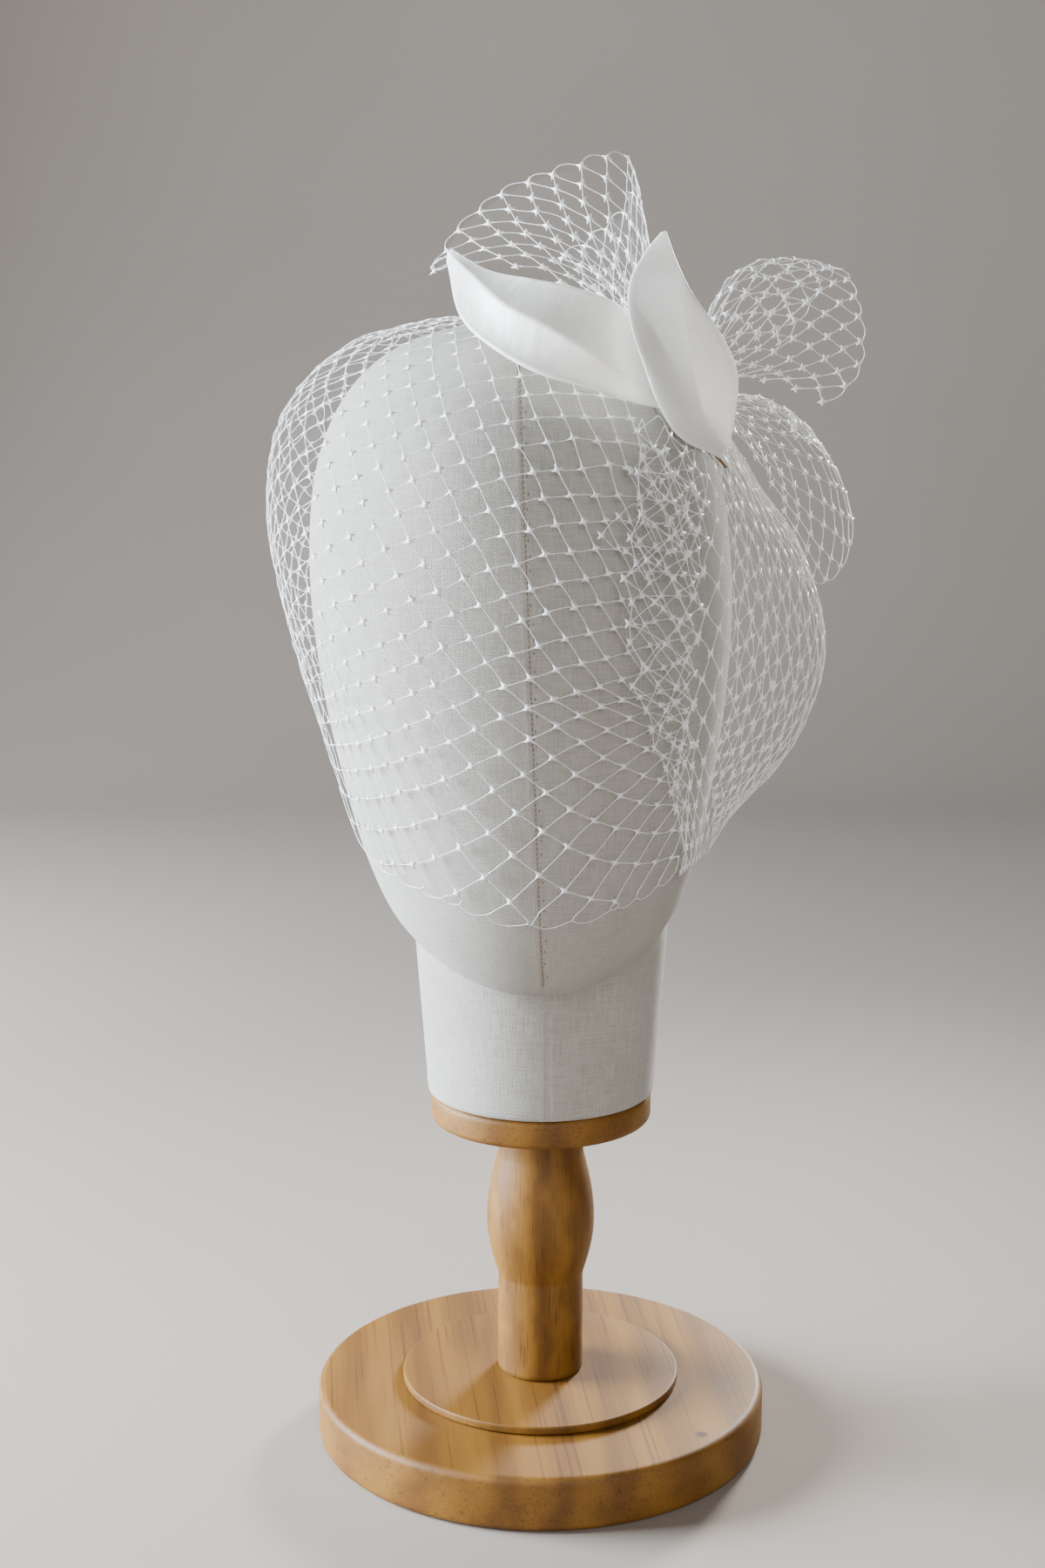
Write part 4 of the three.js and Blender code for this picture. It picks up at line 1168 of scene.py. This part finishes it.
def buildLeaf(name, rows, clear, node):
    # The middle surface thickened to both sides along the cross product of its steps, thinner at the
    # turned edge, which is rolled a little
    along, across = np.meshgrid(np.linspace(0, 1, leaves["along"]), np.linspace(0, 1, leaves["across"]),
                                indexing="ij")
    middle = leafMiddle(rows, clear, along, across)
    normal = unit(np.cross(np.gradient(middle, axis=1), np.gradient(middle, axis=0)))
    reach = np.abs(across * 2 - 1)
    thin, full = leaves["edgeThickness"] / 2, leaves["thickness"] / 2
    half = thin + (full - thin) * np.sqrt(np.clip(1 - reach**leaves["edgePower"], 0, 1))
    roll = np.exp(-((reach - leaves["rollPlace"]) / leaves["rollWidth"])**2) * np.sin(np.pi * along)
    thick = normal * (half + leaves["edgeRoll"] * roll)[..., None]
    width = lengthOf(np.diff(middle, axis=1)).sum(1).max()
    length = lengthOf(np.diff(middle, axis=0)).sum(0).mean()
    uv = np.tile(vectors((across - 0.5) * width, along * length).reshape(-1, 2), (2, 1))
    piece = makePiece(name, *closedWall(middle + thick, middle - thick), satin, "satin", (node,), uv)
    middle.swapaxes(0, 1)


# Wire below the leaves, as directions like those of the net
pin = {
    "rows": table("turn rise lift", [[-54.4, 29.1, 11.5], [-50.6, 31.2, 11.5], [-47.9, 34.3, 11.3],
                                     [-45.8, 38.6, 11]]),
    "radius": 0.6, "thinnest": 0.05, "endPower": 20, "steps": 40,
}


def buildPin():
    # Round wire along a smooth path through four places on the pleat, rounded off at both ends
    place = np.linspace(0, 1, pin["steps"])
    row = readTable(pin["rows"], place)
    path = headPoint(directionOf(row["turn"], row["rise"]), row["lift"])
    taper = np.sqrt(np.clip(1 - (2 * place - 1)**pin["endPower"], pin["thinnest"], 1))
    wire = tubes(path[None], pin["radius"] * taper, sides=12)
    makePiece("brown_pin", *wire, brownWire, "wire", ("hair_pin",))


looseEnds = {
    "steps": 25,
    "loopRadius": 0.17, "loops": [        # points
        [(-32.5, -38, 443.5), (-35.5, -37, 443), (-37.6, -36, 441), (-35.8, -36, 439.4), (-33, -37, 440.5)],
        [(-32, -37, 441), (-35, -36, 439.6), (-38.4, -35, 440), (-36.4, -36, 442), (-33, -37, 444)],
    ],
    "strokeRadius": 0.2, "strokes": [     # turn, rise and lift, as of the pin
        [(-41, 40, 12.0), (-44.5, 37, 11.2), (-48, 35, 10.8), (-51, 32.5, 11.0)],
        [(-39, 38.5, 11.5), (-43, 36.5, 10.6), (-47, 33.2, 10.4), (-49.5, 30.8, 10.6)],
        [(-43, 37.8, 11.0), (-46, 36.6, 11.6), (-50, 33.4, 11.4), (-53.5, 31.4, 11.0)],
    ],
}


def buildLooseEnds():
    # Ends of white thread at the tip of the left leaf, and thin brown strokes along the pin
    share = np.linspace(0, 1, looseEnds["steps"])
    loops, strokes = (np.array([[curveThrough(axis, share) for axis in np.array(path, float).T]
                                for path in looseEnds[key]]) for key in ("loops", "strokes"))
    ends = tubes(np.moveaxis(loops, 1, -1), looseEnds["loopRadius"], sides=6)
    makePiece("loose_white_ends", *ends, thread, "net")
    turn, rise, lift = np.moveaxis(strokes, 1, 0)
    ends = tubes(headPoint(directionOf(turn, rise), lift), looseEnds["strokeRadius"], sides=6)
    makePiece("brown_strokes_by_pin", *ends, brownWire, "wire")


buildPad()
buildLooseEnds()
buildLeaf("satin_leaf_left", leafLeftRows, leaves["leftClear"], "leaf_left")
buildLeaf("satin_leaf_right", leafRightRows, leaves["rightClear"], "leaf_right")
buildPin()
print("leaves, pad and pin sewn on")


# Floor, light and camera

studio = {
    "cameraPlace": (-0.007, -0.80, 0.3956), "cameraDown": 10.0, "lens": 50.0, "sensorHeight": 36.0,
    "floorColour": (0.32, 0.270, 0.230), "floorShade": 0.96, "floorReach": 8.0, "floorDrop": 0.0002,
    "wallDistance": 2.2, "wallHeight": 3.0, "sweepRadius": 0.9, "sweepSteps": 24,
    "worldColour": (0.80, 0.80, 0.82), "worldStrength": 0.11,
    "target": (0, 0, 0.32),   # that the lamps face
    "lamps": [                # name, kind, place, size in metres, power, colour
        ("window", "AREA", (-1.35, 0.10, 0.58), 0.8, 165, (0.80, 0.90, 1.0)),
        ("room", "AREA", (0.35, -1.6, 0.95), 1.5, 21, (1.0, 0.985, 0.96)),
        ("behind", "SPOT", (0.62, 1.25, 0.62), 0.15, 230, (1.0, 0.98, 0.95)),
    ],
    "spotCone": 50.0,
}


def makeBackdrop():
    # Flat floor that curves up into a wall behind the stand
    turn = np.linspace(0, np.pi / 2, studio["sweepSteps"])
    radius, wall, reach = studio["sweepRadius"], studio["wallDistance"], studio["floorReach"]
    y = np.concatenate([[-reach], wall - radius + radius * np.sin(turn), [wall]])
    z = np.concatenate([[0], radius - radius * np.cos(turn), [studio["wallHeight"]]]) - studio["floorDrop"]
    points = vectors(np.array([[-reach, reach]]), y[:, None], z[:, None]).reshape(-1, 3)
    mesh = bpy.data.meshes.new("pale_floor")
    mesh.from_pydata(points.tolist(), [], gridQuads(len(y), 2)[:, ::-1].tolist())
    mesh.polygons.foreach_set("use_smooth", np.ones(len(mesh.polygons), bool))
    shade = tuple(v * studio["floorShade"] for v in studio["floorColour"])
    mesh.materials.append(mottledMaterial("pale floor", studio["floorColour"], shade, scale=3.0,
                                          roughness=0.85, detail=2.0))
    addObject("pale_floor", mesh)


def softLight(name, kind, place, size, power, colour):
    # A soft box, or a lamp with a wide soft-edged cone, turned so that it faces the target
    light = bpy.data.lights.new(name, kind)
    if kind == "AREA":
        light.size = size
    else:
        light.shadow_soft_size, light.spot_blend = size, 1.0
        light.spot_size = math.radians(studio["spotCone"])
    light.energy, light.color = power, colour
    lamp = addObject(name, light)
    x, y, z = np.subtract(studio["target"], place)
    lamp.location = place
    lamp.rotation_euler = (math.pi / 2 + math.atan2(z, math.hypot(x, y)), 0, math.atan2(-x, y))


def makeCamera():
    camera = bpy.data.cameras.new("camera")
    camera.sensor_fit = "VERTICAL"
    camera.sensor_height, camera.lens, camera.clip_start = studio["sensorHeight"], studio["lens"], 0.01
    seat = addObject("camera", camera)
    seat.location = studio["cameraPlace"]
    seat.rotation_euler = (math.radians(90 - studio["cameraDown"]), 0, 0)
    bpy.context.scene.camera = seat


makeCamera()
makeBackdrop()
for lamp in studio["lamps"]:
    softLight(*lamp)
world = bpy.data.worlds.new("soft room")
world.use_nodes = True
setInputs(world.node_tree, world.node_tree.nodes["Background"],
          {"Color": (*studio["worldColour"], 1), "Strength": studio["worldStrength"]})
bpy.context.scene.world = world
print("studio lit")
